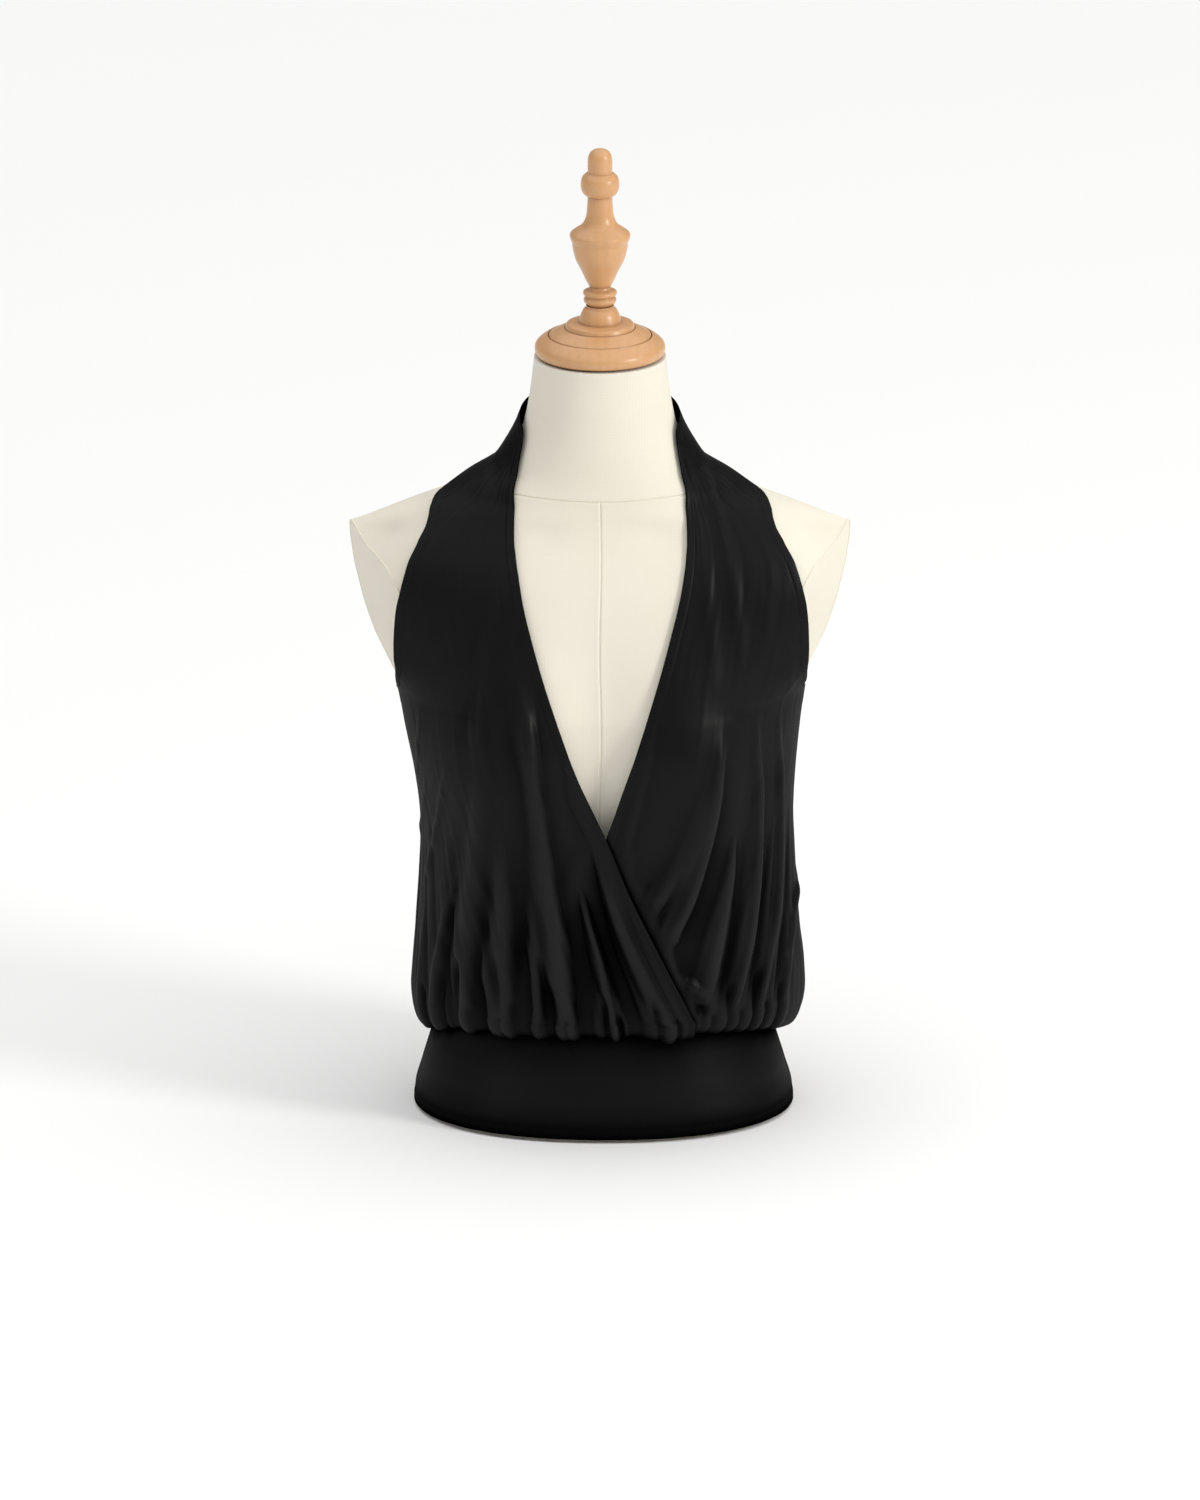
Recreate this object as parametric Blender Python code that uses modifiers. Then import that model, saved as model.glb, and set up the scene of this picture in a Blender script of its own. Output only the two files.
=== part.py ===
"""A sleeveless wrap top in soft black jersey, standing on a limbless dress form.

The front has two pieces. Each starts as a narrow strap behind the neck, widens over the bust and
crosses the other one at the middle, and both are gathered into a smooth band at the waist.
The form has a flat underside, cut-off shoulders and a turned wooden neck cap with a finial.

Lengths are in millimetres and angles in degrees until a mesh is made. Angles run about the
upright axis, 0 straight ahead (-Y), positive towards +X. Heights start at the form's underside.
"""
import bpy
import bmesh
import numpy as np

MM = 0.001

# Cloth sizes
CLOTH = 1.4
BAND_CLOTH = 2.0
FORM_CLEARANCE = 0.8
BAND_CLEARANCE = 1.1
SEAM_GAP = 0.5
LAYER_GAP = 0.8
LAYER_LIFT = 3.0

# The form's cover, read at each height: half width, depth to the front, depth to the back
FORM_SECTIONS = np.array([
    # height, half_width, front, back
    (0, 129, 100, 92),
    (4, 136, 107, 99),
    (10, 138.5, 110, 102),
    (30, 133.5, 106.5, 99),
    (50, 127.5, 102, 95.5),
    (70, 122, 97.5, 91),
    (90, 119, 94.5, 88),
    (110, 118.5, 93, 86.5),
    (135, 121, 94.5, 87),
    (170, 125, 97.5, 90),
    (205, 128, 101, 94),
    (235, 131.5, 103, 98),
    (265, 136, 104, 101),
    (300, 143, 104, 105),
    (325, 148, 104, 106.5),
    (332, 151, 103.2, 107),
    (340, 158.5, 102, 107),
    (365, 189, 98, 106),
    (390, 204, 93, 103),
    (415, 211, 86, 97),
    (436, 208, 77, 88),
    (450, 197, 69, 79),
    (460, 171, 64, 72),
    (468, 148, 61, 68),
    (478, 115, 59, 64),
    (488, 97, 57.5, 61.5),
    (500, 76, 56, 59.5),
    (514, 65, 54.5, 57.5),
    (530, 57.5, 53, 55.5),
    (548, 53.5, 51.5, 53.5),
    (566, 51, 50, 51.5),
    (582.5, 49.3, 49, 49.3),
])
FORM_COLUMNS = 40
SQUARE_BODY = 0.2
NECK_BASE, SQUARE_FADE = 480, 60
HIP_SWAY = 0.02
HIP_TOP, HIP_FADE = 95, 40

# How much the sections come to a point towards the arms, in front and behind
ARM_POINTS = np.array([
    # height, front, back
    (322, 0, 0),
    (345, 0, 0.8),
    (385, 0, 0.85),
    (404, 0.02, 0.92),
    (418, 0.3, 0.95),
    (430, 0.65, 1),
    (442, 0.95, 1),
    (450, 1, 1),
    (462, 0.6, 0.6),
    (476, 0, 0),
])
POINT_FRONT, POINT_FRONT_FADE = 66, 20
POINT_BACK, POINT_BACK_FADE = 130, 22

# The form's padded bust
BUST_ANGLE = 30
BUST_HEIGHT = 283
BUST_DEPTH = 28
BUST_INNER, BUST_OUTER = 13, 21
BUST_ABOVE, BUST_BELOW = 55, 38

# The flat plates where the arms would start
PLATE_TOP_X, PLATE_TOP_Z = 188, 454
PLATE_LEAN_Z, PLATE_LEAN_Y = 0.29, 0.39
PLATE_MID_Y = 5
PLATE_CUT_LOW, PLATE_CUT_HIGH = 330, 520
PLATE_CUT_OUT, PLATE_CUT_SIDE = 260, 140

# The hanging cloth where it stands clear of the form, by height
DRAPE_SECTIONS = np.array([
    # height, left, right, front, back, bust
    (60, 131, 141, 103, 100, 4),
    (85, 136, 148, 104.5, 103, 6),
    (110, 134.5, 147, 105, 104.5, 8),
    (140, 132, 143.5, 106, 105, 10),
    (180, 129.5, 141, 107.5, 104, 13),
    (220, 129, 141, 109, 102, 17),
    (260, 133, 143, 110, 101, 20),
    (300, 141, 146.5, 110, 100, 18),
    (340, 147, 151, 104, 98, 8),
    (400, 140, 140, 85, 90, 0),
    (450, 100, 100, 60, 60, 0),
    (600, 30, 30, 30, 30, 0),
])
DRAPE_INNER, DRAPE_OUTER = 16, 24
DRAPE_ROUNDING = 3
BLOUSE_PUFF = 4
BLOUSE_TOP, BLOUSE_FADE = 260, 110
BRIDGE = 3
BRIDGE_HEIGHT, BRIDGE_SPREAD = 500, 16
BRIDGE_ANGLE, BRIDGE_WIDTH = 90, 26

# One front piece, photo-left, from the gathered seam to behind the neck
FRONT_STATIONS = np.array([
    # over_inner, under_inner, inner_height, over_outer, under_outer, outer_height
    (33.2, 31, 97, -90, -90, 94),
    (26.2, 23, 128, -90, -90, 124),
    (18.6, 15.5, 163.5, -90, -90, 160),
    (10.7, 7, 199, -90, -90, 196),
    (2.5, -2, 240, -90, -90, 232),
    (-7.5, -9.2, 284, -90, -90, 268),
    (-12.9, -14.2, 315, -90, -90, 298),
    (-18.8, -19.6, 346, -90, -90, 325),
    (-25, -25.6, 376, -71.8, -73, 341),
    (-31.3, -31.9, 404, -67.2, -68, 362),
    (-38.2, -39.1, 433, -66.4, -67, 388),
    (-46.1, -46.6, 458, -66.5, -67.2, 414),
    (-51.5, -51.7, 477, -68, -68.4, 441),
    (-60.8, -60.2, 503, -74.4, -75, 464),
    (-70.9, -70.5, 529, -90, -91, 478.5),
    (-92, -92, 540, -101, -101, 490),
    (-110, -110, 544, -114, -114, 505),
    (-128, -128, 546, -128, -128, 520),
])
UNDERARM_STATION = 7
BODY_ROWS = 17
STRAP_ROWS = 25
BODY_COLUMNS = 28

# The blouse hangs over its seam in a loop, lowest at the sides
SEAM_SIDE, SEAM_FRONT_RISE = 82, 8
DROOP_FRONT, DROOP_BACK, DROOP_SIDE = 6, 9, 18
DROOP_SPREAD = 10
LOOP_ROWS = (0, 0.14, 0.3, 0.5, 0.72)
LOOP_EASE = 1.5
EDGE_SHIFT = 3

# Gathers where the fronts and the back meet the band
FRONT_GATHERS = 36
BACK_GATHERS = 28
GATHER_DEPTH = 2.4
GATHER_RISE = 26
SCALLOP_DEPTH, SCALLOP_START = 1.6, 0.3

# Large folds of the fronts: a path as seen from the front, x and height, then size
OVER_FOLDS = [
    # path, half_width, height
    ([(-54, 379), (-54, 318), (-43.5, 243), (-29, 138), (-21, 92)], 9, 4),
    ([(-46.5, 367), (-32, 288), (-18, 228), (-3, 168), (8, 107)], 8, -5),
    ([(-21, 219), (-4, 161), (11, 92)], 6, 3),
    ([(-67, 235), (-57, 168), (-54, 107)], 8, -4),
    ([(-87, 332), (-70, 198)], 10, 2.5),
    ([(-103, 215), (-113, 155), (-118, 105)], 6, 3),
    ([(-97, 190), (-107, 105)], 8, -4),
    ([(-26, 288), (-3, 213), (22, 143), (37, 107)], 8, -3),
    ([(-79, 447), (-91, 335)], 9, 1.5),
]
UNDER_FOLDS = [
    ([(92, 319), (86, 280), (75, 235), (63, 192), (50, 158)], 7, 5),
    ([(116, 305), (118, 245), (115, 185), (108, 125), (91, 85)], 6, 4),
    ([(133, 292), (133, 222), (128, 148), (119, 104), (111, 75)], 6, 4),
    ([(83, 197), (57, 144)], 9, -4),
    ([(80, 447), (89, 370)], 6, 2),
    ([(94.5, 478), (113, 375)], 6, 2.5),
    ([(63, 244), (44, 186)], 10, 3),
]
FOLD_FADE = 0.25
FOLD_CORE = 0.6
SIDE_FADE = 6
EDGE_ROLL, EDGE_ROLL_IN, EDGE_ROLL_WIDTH = 2.5, 9, 6
EDGE_ROLL_TOP, EDGE_ROLL_FADE = 320, 40

# How the over front rises onto the under front, as angles from the under front's edge
COVER_REACH, COVER_FADE = 14, 10
COVER_TOP = 400
SHOWN_START, SHOWN_FADE = 2, 8
NEST_REACH, NEST_FADE = 16, 10

# Back piece
BACK_START, BACK_END = 90.15, 269.85
BACK_TOP_SIDE, BACK_TOP_MIDDLE = 325, 300
BACK_COLUMNS = 40
BACK_LOW_ROWS, BACK_HIGH_ROWS = 5, 9
BACK_FOOT_HEIGHT, BACK_SPLIT_HEIGHT = 94, 150

# Waistband and neckband
BAND_HEM = 3
BAND_FLARE_BELOW = 10
BAND_FLARE = 0.2
BAND_COLUMNS = 22
BAND_LEVELS = (0, 0.1, 0.3, 0.55, 0.8, 1)
FRONT_BAND_END = 89.85
NECKBAND_START, NECKBAND_END = 128.35, 231.65
NECKBAND_LOW, NECKBAND_HIGH = 520, 546
NECKBAND_COLUMNS = 14

# Turned wood, radius and height, from the top down
NECK_CAP_PROFILE = [
    (0, 622), (10.4, 622), (10.4, 621), (12.3, 619), (14.2, 615.5), (15.6, 611), (16, 609),
    (24.5, 608), (25.6, 606.3), (26.2, 604.2), (27, 604.6), (33, 602), (37.9, 599.3), (38.7, 597.8),
    (39.5, 598.8), (43.5, 596.5), (47.5, 593), (48.9, 589.2), (47.5, 584.5), (43, 582.8), (0, 582.8),
]
FINIAL_PROFILE = [
    (0, 743.6), (5, 742.5), (8, 739.5), (9.2, 735), (9.2, 725.2), (10.5, 724.5), (13.4, 721.5),
    (14.5, 717), (14.1, 712.5), (12, 708.5), (9.2, 707), (9.7, 698), (10.6, 691), (13.5, 684.8),
    (19.1, 680.5), (22.2, 678), (22.6, 675.5), (21.6, 672.5), (20.9, 671), (20.6, 667), (18.3, 658),
    (14.2, 649.6), (10.3, 641), (7.7, 636.5), (8.6, 634.8), (12.3, 633), (12.5, 630.8), (11, 629.2),
    (11.2, 628.6), (12.2, 627), (12, 625), (9.5, 622.3), (0, 622.3),
]
CAP_STEPS = 24
FINIAL_STEPS = 18


def smooth(knots, values, at):
    """Read a table between its rows with a cubic that never overshoots them."""
    step = np.diff(knots)
    rise = np.diff(values) / step
    product = rise[:-1] * rise[1:]
    total = np.where(product > 0, rise[:-1] + rise[1:], 1)
    inner = np.where(product > 0, 2 * product / total, 0)
    slope = np.concatenate([rise[:1], inner, rise[-1:]])
    at = np.clip(at, knots[0], knots[-1])
    row = np.clip(np.searchsorted(knots, at, side="right") - 1, 0, len(knots) - 2)
    t = (at - knots[row]) / step[row]
    start = (1 + 2 * t) * (1 - t) ** 2 * values[row] + t * (1 - t) ** 2 * step[row] * slope[row]
    end = t ** 2 * (3 - 2 * t) * values[row + 1] + t ** 2 * (t - 1) * step[row] * slope[row + 1]
    return start + end


def section(table, height):
    """All columns of a table of sections at a height."""
    return [smooth(table[:, 0], column, height) for column in table[:, 1:].T]


def ease(value):
    """A smooth step from 0 to 1."""
    value = np.clip(value, 0, 1)
    return value * value * (3 - 2 * value)


def bell(value, width):
    return np.exp(-0.5 * (value / width) ** 2)


def larger(first, second, rounding):
    """The larger of two values, rounded where they meet."""
    return 0.5 * (first + second + np.sqrt((first - second) ** 2 + rounding ** 2))


def bust(angle, inner, outer):
    """Both sides of the bust as seen from above, from 0 to about 1."""
    total = 0
    for side in (-1, 1):
        away = angle * side - BUST_ANGLE
        total = total + bell(away, np.where(away < 0, inner, outer))
    return total


def turned(angle):
    """Bring an angle between -180 and 180, so that the bust stays in front."""
    return (angle + 180) % 360 - 180


def oval(angle, half_width, front, back, power):
    """Distance from the axis to a rounded oval with unlike front and back."""
    sine = np.abs(np.sin(np.radians(angle))) / half_width
    cosine = np.cos(np.radians(angle))
    depth = np.where(cosine > 0, front, back)
    return (sine ** power + (np.abs(cosine) / depth) ** power) ** (-1 / power)


def form_radius(angle, height):
    """Distance from the axis to the form's cover."""
    angle = turned(angle)
    half_width, front, back = section(FORM_SECTIONS, height)
    power = 2 + SQUARE_BODY * ease((NECK_BASE - height) / SQUARE_FADE) - arm_point(angle, height)
    above = height > BUST_HEIGHT
    rise = bell(height - BUST_HEIGHT, np.where(above, BUST_ABOVE, BUST_BELOW))
    padding = BUST_DEPTH * rise * bust(angle, BUST_INNER, BUST_OUTER)
    sway = 1 + HIP_SWAY * np.sin(np.radians(angle)) * ease((HIP_TOP - height) / HIP_FADE)
    return oval(angle, half_width, front, back, power) * sway + padding


def arm_point(angle, height):
    """How much less round a section is close to the arms."""
    front, back = section(ARM_POINTS, height)
    away = np.abs(angle)
    ahead = front * ease((away - POINT_FRONT) / POINT_FRONT_FADE)
    behind = back * ease((POINT_BACK - away) / POINT_BACK_FADE)
    return np.where(away < 90, ahead, behind)


def drape_radius(angle, height):
    """Distance from the axis to cloth that hangs free of the form."""
    angle = turned(angle)
    left, right, front, back, depth = section(DRAPE_SECTIONS, height)
    half_width = np.where(angle > 0, right, left)
    return oval(angle, half_width, front, back, 2) + depth * bust(angle, DRAPE_INNER, DRAPE_OUTER)


def at_radius(radius, angle, height):
    """A point in space from its distance to the axis, its angle and its height."""
    turn = np.radians(angle)
    height = np.broadcast_to(height, np.shape(radius))
    return np.stack([radius * np.sin(turn), -radius * np.cos(turn), height], axis=-1)


def rest_surface(angle, height):
    """The surface that the cloth settles on: the form, or the hanging cloth where that is wider."""
    radius = larger(form_radius(angle, height), drape_radius(angle, height), DRAPE_ROUNDING)
    return at_radius(radius, angle, height)


def lifted(angle, height, lift):
    """Points that stand off the rest surface by a lift measured square to it."""
    step = 0.5
    across = rest_surface(angle + step, height) - rest_surface(angle - step, height)
    upward = rest_surface(angle, height + step) - rest_surface(angle, height - step)
    normal = np.cross(across, upward)
    normal /= np.linalg.norm(normal, axis=-1, keepdims=True)
    return rest_surface(angle, height) + normal * lift[..., None]


def angle_seen(x, height):
    """The angle in the front half at which the rest surface has this x."""
    low = np.full(np.shape(x), -90.0)
    high = np.full(np.shape(x), 90.0)
    for _ in range(30):
        middle = 0.5 * (low + high)
        too_far = rest_surface(middle, height)[..., 0] > x
        high = np.where(too_far, middle, high)
        low = np.where(too_far, low, middle)
    return 0.5 * (low + high)


def fold_relief(angle, height, folds):
    """How far the folds raise or sink the cloth, from the distance to each fold's path."""
    points = rest_surface(angle, height)
    relief = np.zeros(np.shape(angle))
    for path, half_width, rise in folds:
        x, level = np.array(path, dtype=float).T
        route = rest_surface(angle_seen(x, level), level)
        lengths = np.linalg.norm(np.diff(route, axis=0), axis=1)
        starts = np.concatenate([[0], np.cumsum(lengths)])
        nearest = np.full(np.shape(angle), np.inf)
        along = np.zeros(np.shape(angle))
        for index, length in enumerate(lengths):
            direction = (route[index + 1] - route[index]) / length
            reach = np.clip((points - route[index]) @ direction, 0, length)
            away = np.linalg.norm(points - route[index] - reach[..., None] * direction, axis=-1)
            closer = away < nearest
            nearest = np.where(closer, away, nearest)
            along = np.where(closer, (starts[index] + reach) / starts[-1], along)
        relief += rise * bell(nearest, FOLD_CORE * half_width) * ease(along / FOLD_FADE)
    return relief


def gathers(angle, count):
    """Uneven gathers around the waist, from 0 in a dip to 1 on a crest."""
    turn = np.radians(angle)
    wander = 0.9 * np.sin(3 * turn + 0.7) + 0.5 * np.sin(7 * turn)
    strength = 0.7 + 0.3 * np.sin(5 * turn + 1.9)
    return strength * (0.5 + 0.5 * np.sin(count * turn + wander))


def puff(height):
    return BLOUSE_PUFF * ease((BLOUSE_TOP - height) / BLOUSE_FADE)


def inner_edge(side, height):
    """Angle of a front's neckline edge at a height. side is -1 for the over front, 1 for the under one."""
    angles = FRONT_STATIONS[:, 0] if side < 0 else -FRONT_STATIONS[:, 1]
    return smooth(FRONT_STATIONS[:, 2], angles, height)


def front_base(angle, height):
    """What both fronts share: the puff of the blouse and the bridge from neck to shoulder."""
    bridge = bell(height - BRIDGE_HEIGHT, BRIDGE_SPREAD) * bell(np.abs(angle) - BRIDGE_ANGLE, BRIDGE_WIDTH)
    return puff(height) + BRIDGE * bridge


def under_lift(angle, height):
    """How far the under front stands off the rest surface. It lies flat where the other covers it."""
    shown = ease((angle - inner_edge(-1, height) - SHOWN_START) / SHOWN_FADE)
    relief = fold_relief(angle, height, UNDER_FOLDS)
    relief = relief + gather_relief(angle, height, FRONT_GATHERS)
    side = ease((90 - angle) / SIDE_FADE)
    return FORM_CLEARANCE + np.maximum(front_base(angle, height) + relief * shown * side, 0)


def gather_relief(angle, height, count):
    rise = height - seam_height(angle)
    return GATHER_DEPTH * gathers(angle, count) * ease(1 - rise / GATHER_RISE)


def over_lift(angle, height):
    """How far the over front stands off the rest surface, clear of the under front."""
    radius = np.linalg.norm(rest_surface(angle, height)[..., :2], axis=-1)
    from_edge = np.radians(inner_edge(-1, height) - angle) * radius
    roll_fade = ease((EDGE_ROLL_TOP - height) / EDGE_ROLL_FADE)
    roll = EDGE_ROLL * bell(from_edge - EDGE_ROLL_IN, EDGE_ROLL_WIDTH) * roll_fade
    relief = fold_relief(angle, height, OVER_FOLDS) + gather_relief(angle, height, FRONT_GATHERS)
    side = ease((90 + angle) / SIDE_FADE)
    own = np.maximum(front_base(angle, height) + relief * side + roll, 0)
    covers = ease((angle - inner_edge(1, height) + COVER_REACH) / COVER_FADE) * (height < COVER_TOP)
    below = under_lift(angle, height) - FORM_CLEARANCE + CLOTH + LAYER_LIFT
    return FORM_CLEARANCE + larger(own, covers * below, 0.5)


def seam_height(angle):
    cosine = np.cos(np.radians(angle))
    return SEAM_SIDE + SEAM_FRONT_RISE * np.where(cosine > 0, cosine, 0) ** 2


def droop(angle):
    """How far the blouse hangs below its seam."""
    middle = np.where(np.cos(np.radians(angle)) > 0, DROOP_FRONT, DROOP_BACK)
    return middle + (DROOP_SIDE - middle) * np.abs(np.sin(np.radians(angle))) ** DROOP_SPREAD


def band_inner(angle, height):
    flare = BAND_FLARE * np.maximum(BAND_FLARE_BELOW - height, 0)
    return form_radius(angle, np.maximum(height, BAND_FLARE_BELOW)) + flare + BAND_CLEARANCE


def loop_row(t, angle, foot, nested, wave):
    """One row of the loop from the seam, t = 0, down, out and up to the blouse's foot, t = 1.

    Where the other front covers this one, its loop lies nested inside the other's.
    """
    seam = seam_height(angle)
    depth = droop(angle) + LOOP_EASE - nested * (CLOTH + LAYER_GAP) + wave
    height = seam + (foot[:, 2] - seam) * t ** 3 - 4 * depth * t * (1 - t)
    leg = band_inner(angle, height) + BAND_CLOTH + SEAM_GAP + CLOTH + nested * (CLOTH + LAYER_GAP)
    reach = np.hypot(foot[:, 0], foot[:, 1])
    radius = leg + (reach - leg) * ease(t)
    return at_radius(radius, angle, height)


def front_rows(side, lift):
    """Rows of points on a front's inner face, from its seam to behind the neck.

    side is -1 for the over front at -X and 1 for the under front at +X.
    """
    numbers = np.arange(len(FRONT_STATIONS))
    body = np.linspace(0, UNDERARM_STATION, BODY_ROWS)
    strap = np.linspace(UNDERARM_STATION, numbers[-1], STRAP_ROWS)[1:]
    rows = []
    for station in np.concatenate([body, strap]):
        columns = BODY_COLUMNS if station <= UNDERARM_STATION else BODY_COLUMNS // 2
        share = np.linspace(0, 1, columns + 1)
        over_start, under_start, start_height, over_end, under_end, end_height = (
            smooth(numbers, values, station) for values in FRONT_STATIONS.T
        )
        start_angle, end_angle = (over_start, over_end) if side < 0 else (under_start, under_end)
        angle = -side * (start_angle + share * (end_angle - start_angle))
        height = start_height + share * (end_height - start_height)
        rows.append(lifted(angle, height, lift(angle, height)))
    share = np.linspace(0, 1, BODY_COLUMNS + 1)
    over_foot, under_foot = FRONT_STATIONS[0, 0], FRONT_STATIONS[0, 1]
    inner_foot, outer_foot = over_foot if side < 0 else under_foot, FRONT_STATIONS[0, 3]
    foot_angle = -side * (inner_foot + share * (outer_foot - inner_foot))
    loop = []
    for t in LOOP_ROWS:
        angle = foot_angle - side * EDGE_SHIFT * (1 - t) * (1 - share)
        covered = ease((over_foot + NEST_REACH - angle) / NEST_FADE) if side > 0 else 0
        wave = SCALLOP_DEPTH * gathers(angle, FRONT_GATHERS) * (1 - covered) * ease(t / SCALLOP_START)
        loop.append(loop_row(t, angle, rows[0], covered, wave))
    return [row[::side] for row in loop + rows]


def back_rows():
    """Rows of points on the back's inner face, from its seam to its top edge."""
    low_angle = np.linspace(BACK_START, BACK_END, BACK_COLUMNS + 1)
    high_angle = low_angle[::2]

    def inside(angle):
        return ease(np.minimum(angle - BACK_START, BACK_END - angle) / SIDE_FADE)

    def lift(angle, height):
        relief = gather_relief(angle, height, BACK_GATHERS) * inside(angle)
        return FORM_CLEARANCE + puff(height) + relief

    rows = []
    for height in np.linspace(BACK_FOOT_HEIGHT, BACK_SPLIT_HEIGHT, BACK_LOW_ROWS):
        level = np.full(low_angle.shape, height)
        rows.append(lifted(low_angle, level, lift(low_angle, level)))
    loop = []
    for t in LOOP_ROWS:
        wave = SCALLOP_DEPTH * gathers(low_angle, BACK_GATHERS) * inside(low_angle) * ease(t / SCALLOP_START)
        loop.append(loop_row(t, low_angle, rows[0], 0, wave))
    middle = np.cos(np.radians(high_angle)) ** 2
    top = BACK_TOP_SIDE + (BACK_TOP_MIDDLE - BACK_TOP_SIDE) * ease(middle)
    for share in np.linspace(0, 1, BACK_HIGH_ROWS + 1)[1:]:
        level = BACK_SPLIT_HEIGHT + share * (top - BACK_SPLIT_HEIGHT)
        rows.append(lifted(high_angle, level, lift(high_angle, level)))
    return loop + rows


def band_rows(start, end, low, high, columns, inner):
    """Rows of points on a band's inner face. low and high may change with the angle."""
    angle = np.linspace(start, end, columns + 1)
    rows = []
    for share in BAND_LEVELS:
        height = low + share * (high(angle) - low)
        rows.append(at_radius(inner(angle, height), angle, height))
    return rows


def material(name, colour, roughness):
    """A plain finish for one piece."""
    made = bpy.data.materials.new(name)
    made.use_nodes = True
    shader = made.node_tree.nodes["Principled BSDF"]
    shader.inputs["Base Color"].default_value = (*colour, 1)
    shader.inputs["Roughness"].default_value = roughness
    shader.inputs["Metallic"].default_value = 0
    return made


def add_object(name, mesh, finish, collection):
    piece = bpy.data.objects.new(name, mesh)
    collection.objects.link(piece)
    if finish:
        mesh.materials.append(material(name, *finish))
        mesh.shade_smooth()
    return piece


def finished_mesh(name, bm):
    mesh = bpy.data.meshes.new(name)
    bm.to_mesh(mesh)
    bm.free()
    return mesh


def cloth_piece(name, rows, thickness, finish, collection):
    """Join rows of points into one sheet and give it thickness outwards.

    Rows run upwards and the angle rises along each. A row may have half the columns of the one below.
    """
    bm = bmesh.new()
    lines = [[bm.verts.new(point * MM) for point in row] for row in rows]
    for lower, upper in zip(lines, lines[1:]):
        ratio = (len(lower) - 1) // (len(upper) - 1)
        for column in range(len(upper) - 1):
            below = lower[column * ratio:(column + 1) * ratio + 1]
            bm.faces.new(below + [upper[column + 1], upper[column]])
    piece = add_object(name, finished_mesh(name, bm), finish, collection)
    wall = piece.modifiers.new("Wall", "SOLIDIFY")
    wall.thickness = thickness * MM
    wall.offset = 1
    return piece


def form_piece(name, finish, collection, cutters):
    """The form's body: a loft through its sections, with a flat plate cut at each arm."""
    heights = np.concatenate([
        [0, 4, 10],
        np.arange(30, 315, 20),
        np.arange(324, 380, 7),
        np.arange(386, 430, 14),
        np.arange(436, 530, 8),
        np.arange(539, 575, 13),
        [582.5],
    ])
    angle = np.arange(FORM_COLUMNS) * 360 / FORM_COLUMNS
    bm = bmesh.new()
    rings = []
    for height in heights:
        radius = form_radius(angle, np.full(angle.shape, height))
        rings.append([bm.verts.new(point * MM) for point in at_radius(radius, angle, height)])
    for lower, upper in zip(rings, rings[1:]):
        for column in range(FORM_COLUMNS):
            after = (column + 1) % FORM_COLUMNS
            bm.faces.new([lower[column], lower[after], upper[after], upper[column]])
    bm.faces.new(rings[0][::-1])
    bm.faces.new(rings[-1])
    body = add_object(name, finished_mesh(name, bm), finish, collection)
    for side in (-1, 1):
        cutter = plate_cutter(side, cutters)
        cut = body.modifiers.new("Arm plate", "BOOLEAN")
        cut.operation = "DIFFERENCE"
        cut.solver = "EXACT"
        cut.object = cutter
    return body


def plate_cutter(side, cutters):
    """A block whose inner face lies on the plane of an arm plate."""
    bm = bmesh.new()
    bmesh.ops.create_cube(bm, size=2)
    for corner in bm.verts:
        y = PLATE_CUT_SIDE * corner.co.y
        z = PLATE_CUT_HIGH if corner.co.z > 0 else PLATE_CUT_LOW
        plane = PLATE_TOP_X + PLATE_LEAN_Z * (z - PLATE_TOP_Z) + PLATE_LEAN_Y * (y - PLATE_MID_Y)
        x = PLATE_CUT_OUT if corner.co.x > 0 else plane
        corner.co = (side * x * MM, y * MM, z * MM)
    if side < 0:
        bmesh.ops.reverse_faces(bm, faces=bm.faces[:])
    cutter = add_object("arm_plate_cutter", finished_mesh("arm_plate_cutter", bm), None, cutters)
    cutter.hide_render = True
    cutter.display_type = "WIRE"
    return cutter


def turned_piece(name, profile, steps, finish, collection):
    """A piece turned about the upright axis from its profile."""
    bm = bmesh.new()
    points = [bm.verts.new((radius * MM, 0, height * MM)) for radius, height in profile]
    for upper, lower in zip(points, points[1:]):
        bm.edges.new((upper, lower))
    piece = add_object(name, finished_mesh(name, bm), finish, collection)
    lathe = piece.modifiers.new("Lathe", "SCREW")
    lathe.steps = steps
    lathe.render_steps = steps
    lathe.use_merge_vertices = True
    lathe.merge_threshold = 0.0001
    return piece


for old in list(bpy.data.objects):
    bpy.data.objects.remove(old, do_unlink=True)
top = bpy.data.collections.new("halter wrap top on dress form")
tools = bpy.data.collections.new("cutters")
bpy.context.scene.collection.children.link(top)
bpy.context.scene.collection.children.link(tools)

BLACK = ((0.012, 0.012, 0.013), 0.75)
CREAM = ((0.80, 0.76, 0.66), 0.85)
WOOD = ((0.62, 0.40, 0.22), 0.35)

form_piece("form_body", CREAM, top, tools)
turned_piece("neck_cap", NECK_CAP_PROFILE, CAP_STEPS, WOOD, top)
turned_piece("finial", FINIAL_PROFILE, FINIAL_STEPS, WOOD, top)

cloth_piece("front_under", front_rows(1, under_lift), CLOTH, BLACK, top)
cloth_piece("front_over", front_rows(-1, over_lift), CLOTH, BLACK, top)
cloth_piece("back_panel", back_rows(), CLOTH, BLACK, top)

front_band = band_rows(-FRONT_BAND_END, FRONT_BAND_END, BAND_HEM, seam_height, BAND_COLUMNS, band_inner)
cloth_piece("waistband_front", front_band, BAND_CLOTH, BLACK, top)
back_band = band_rows(BACK_START, BACK_END, BAND_HEM, seam_height, BAND_COLUMNS, band_inner)
cloth_piece("waistband_back", back_band, BAND_CLOTH, BLACK, top)


def neckband_inner(angle, height):
    return form_radius(angle, height) + FORM_CLEARANCE


def neckband_top(angle):
    return np.full(angle.shape, NECKBAND_HIGH)


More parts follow.
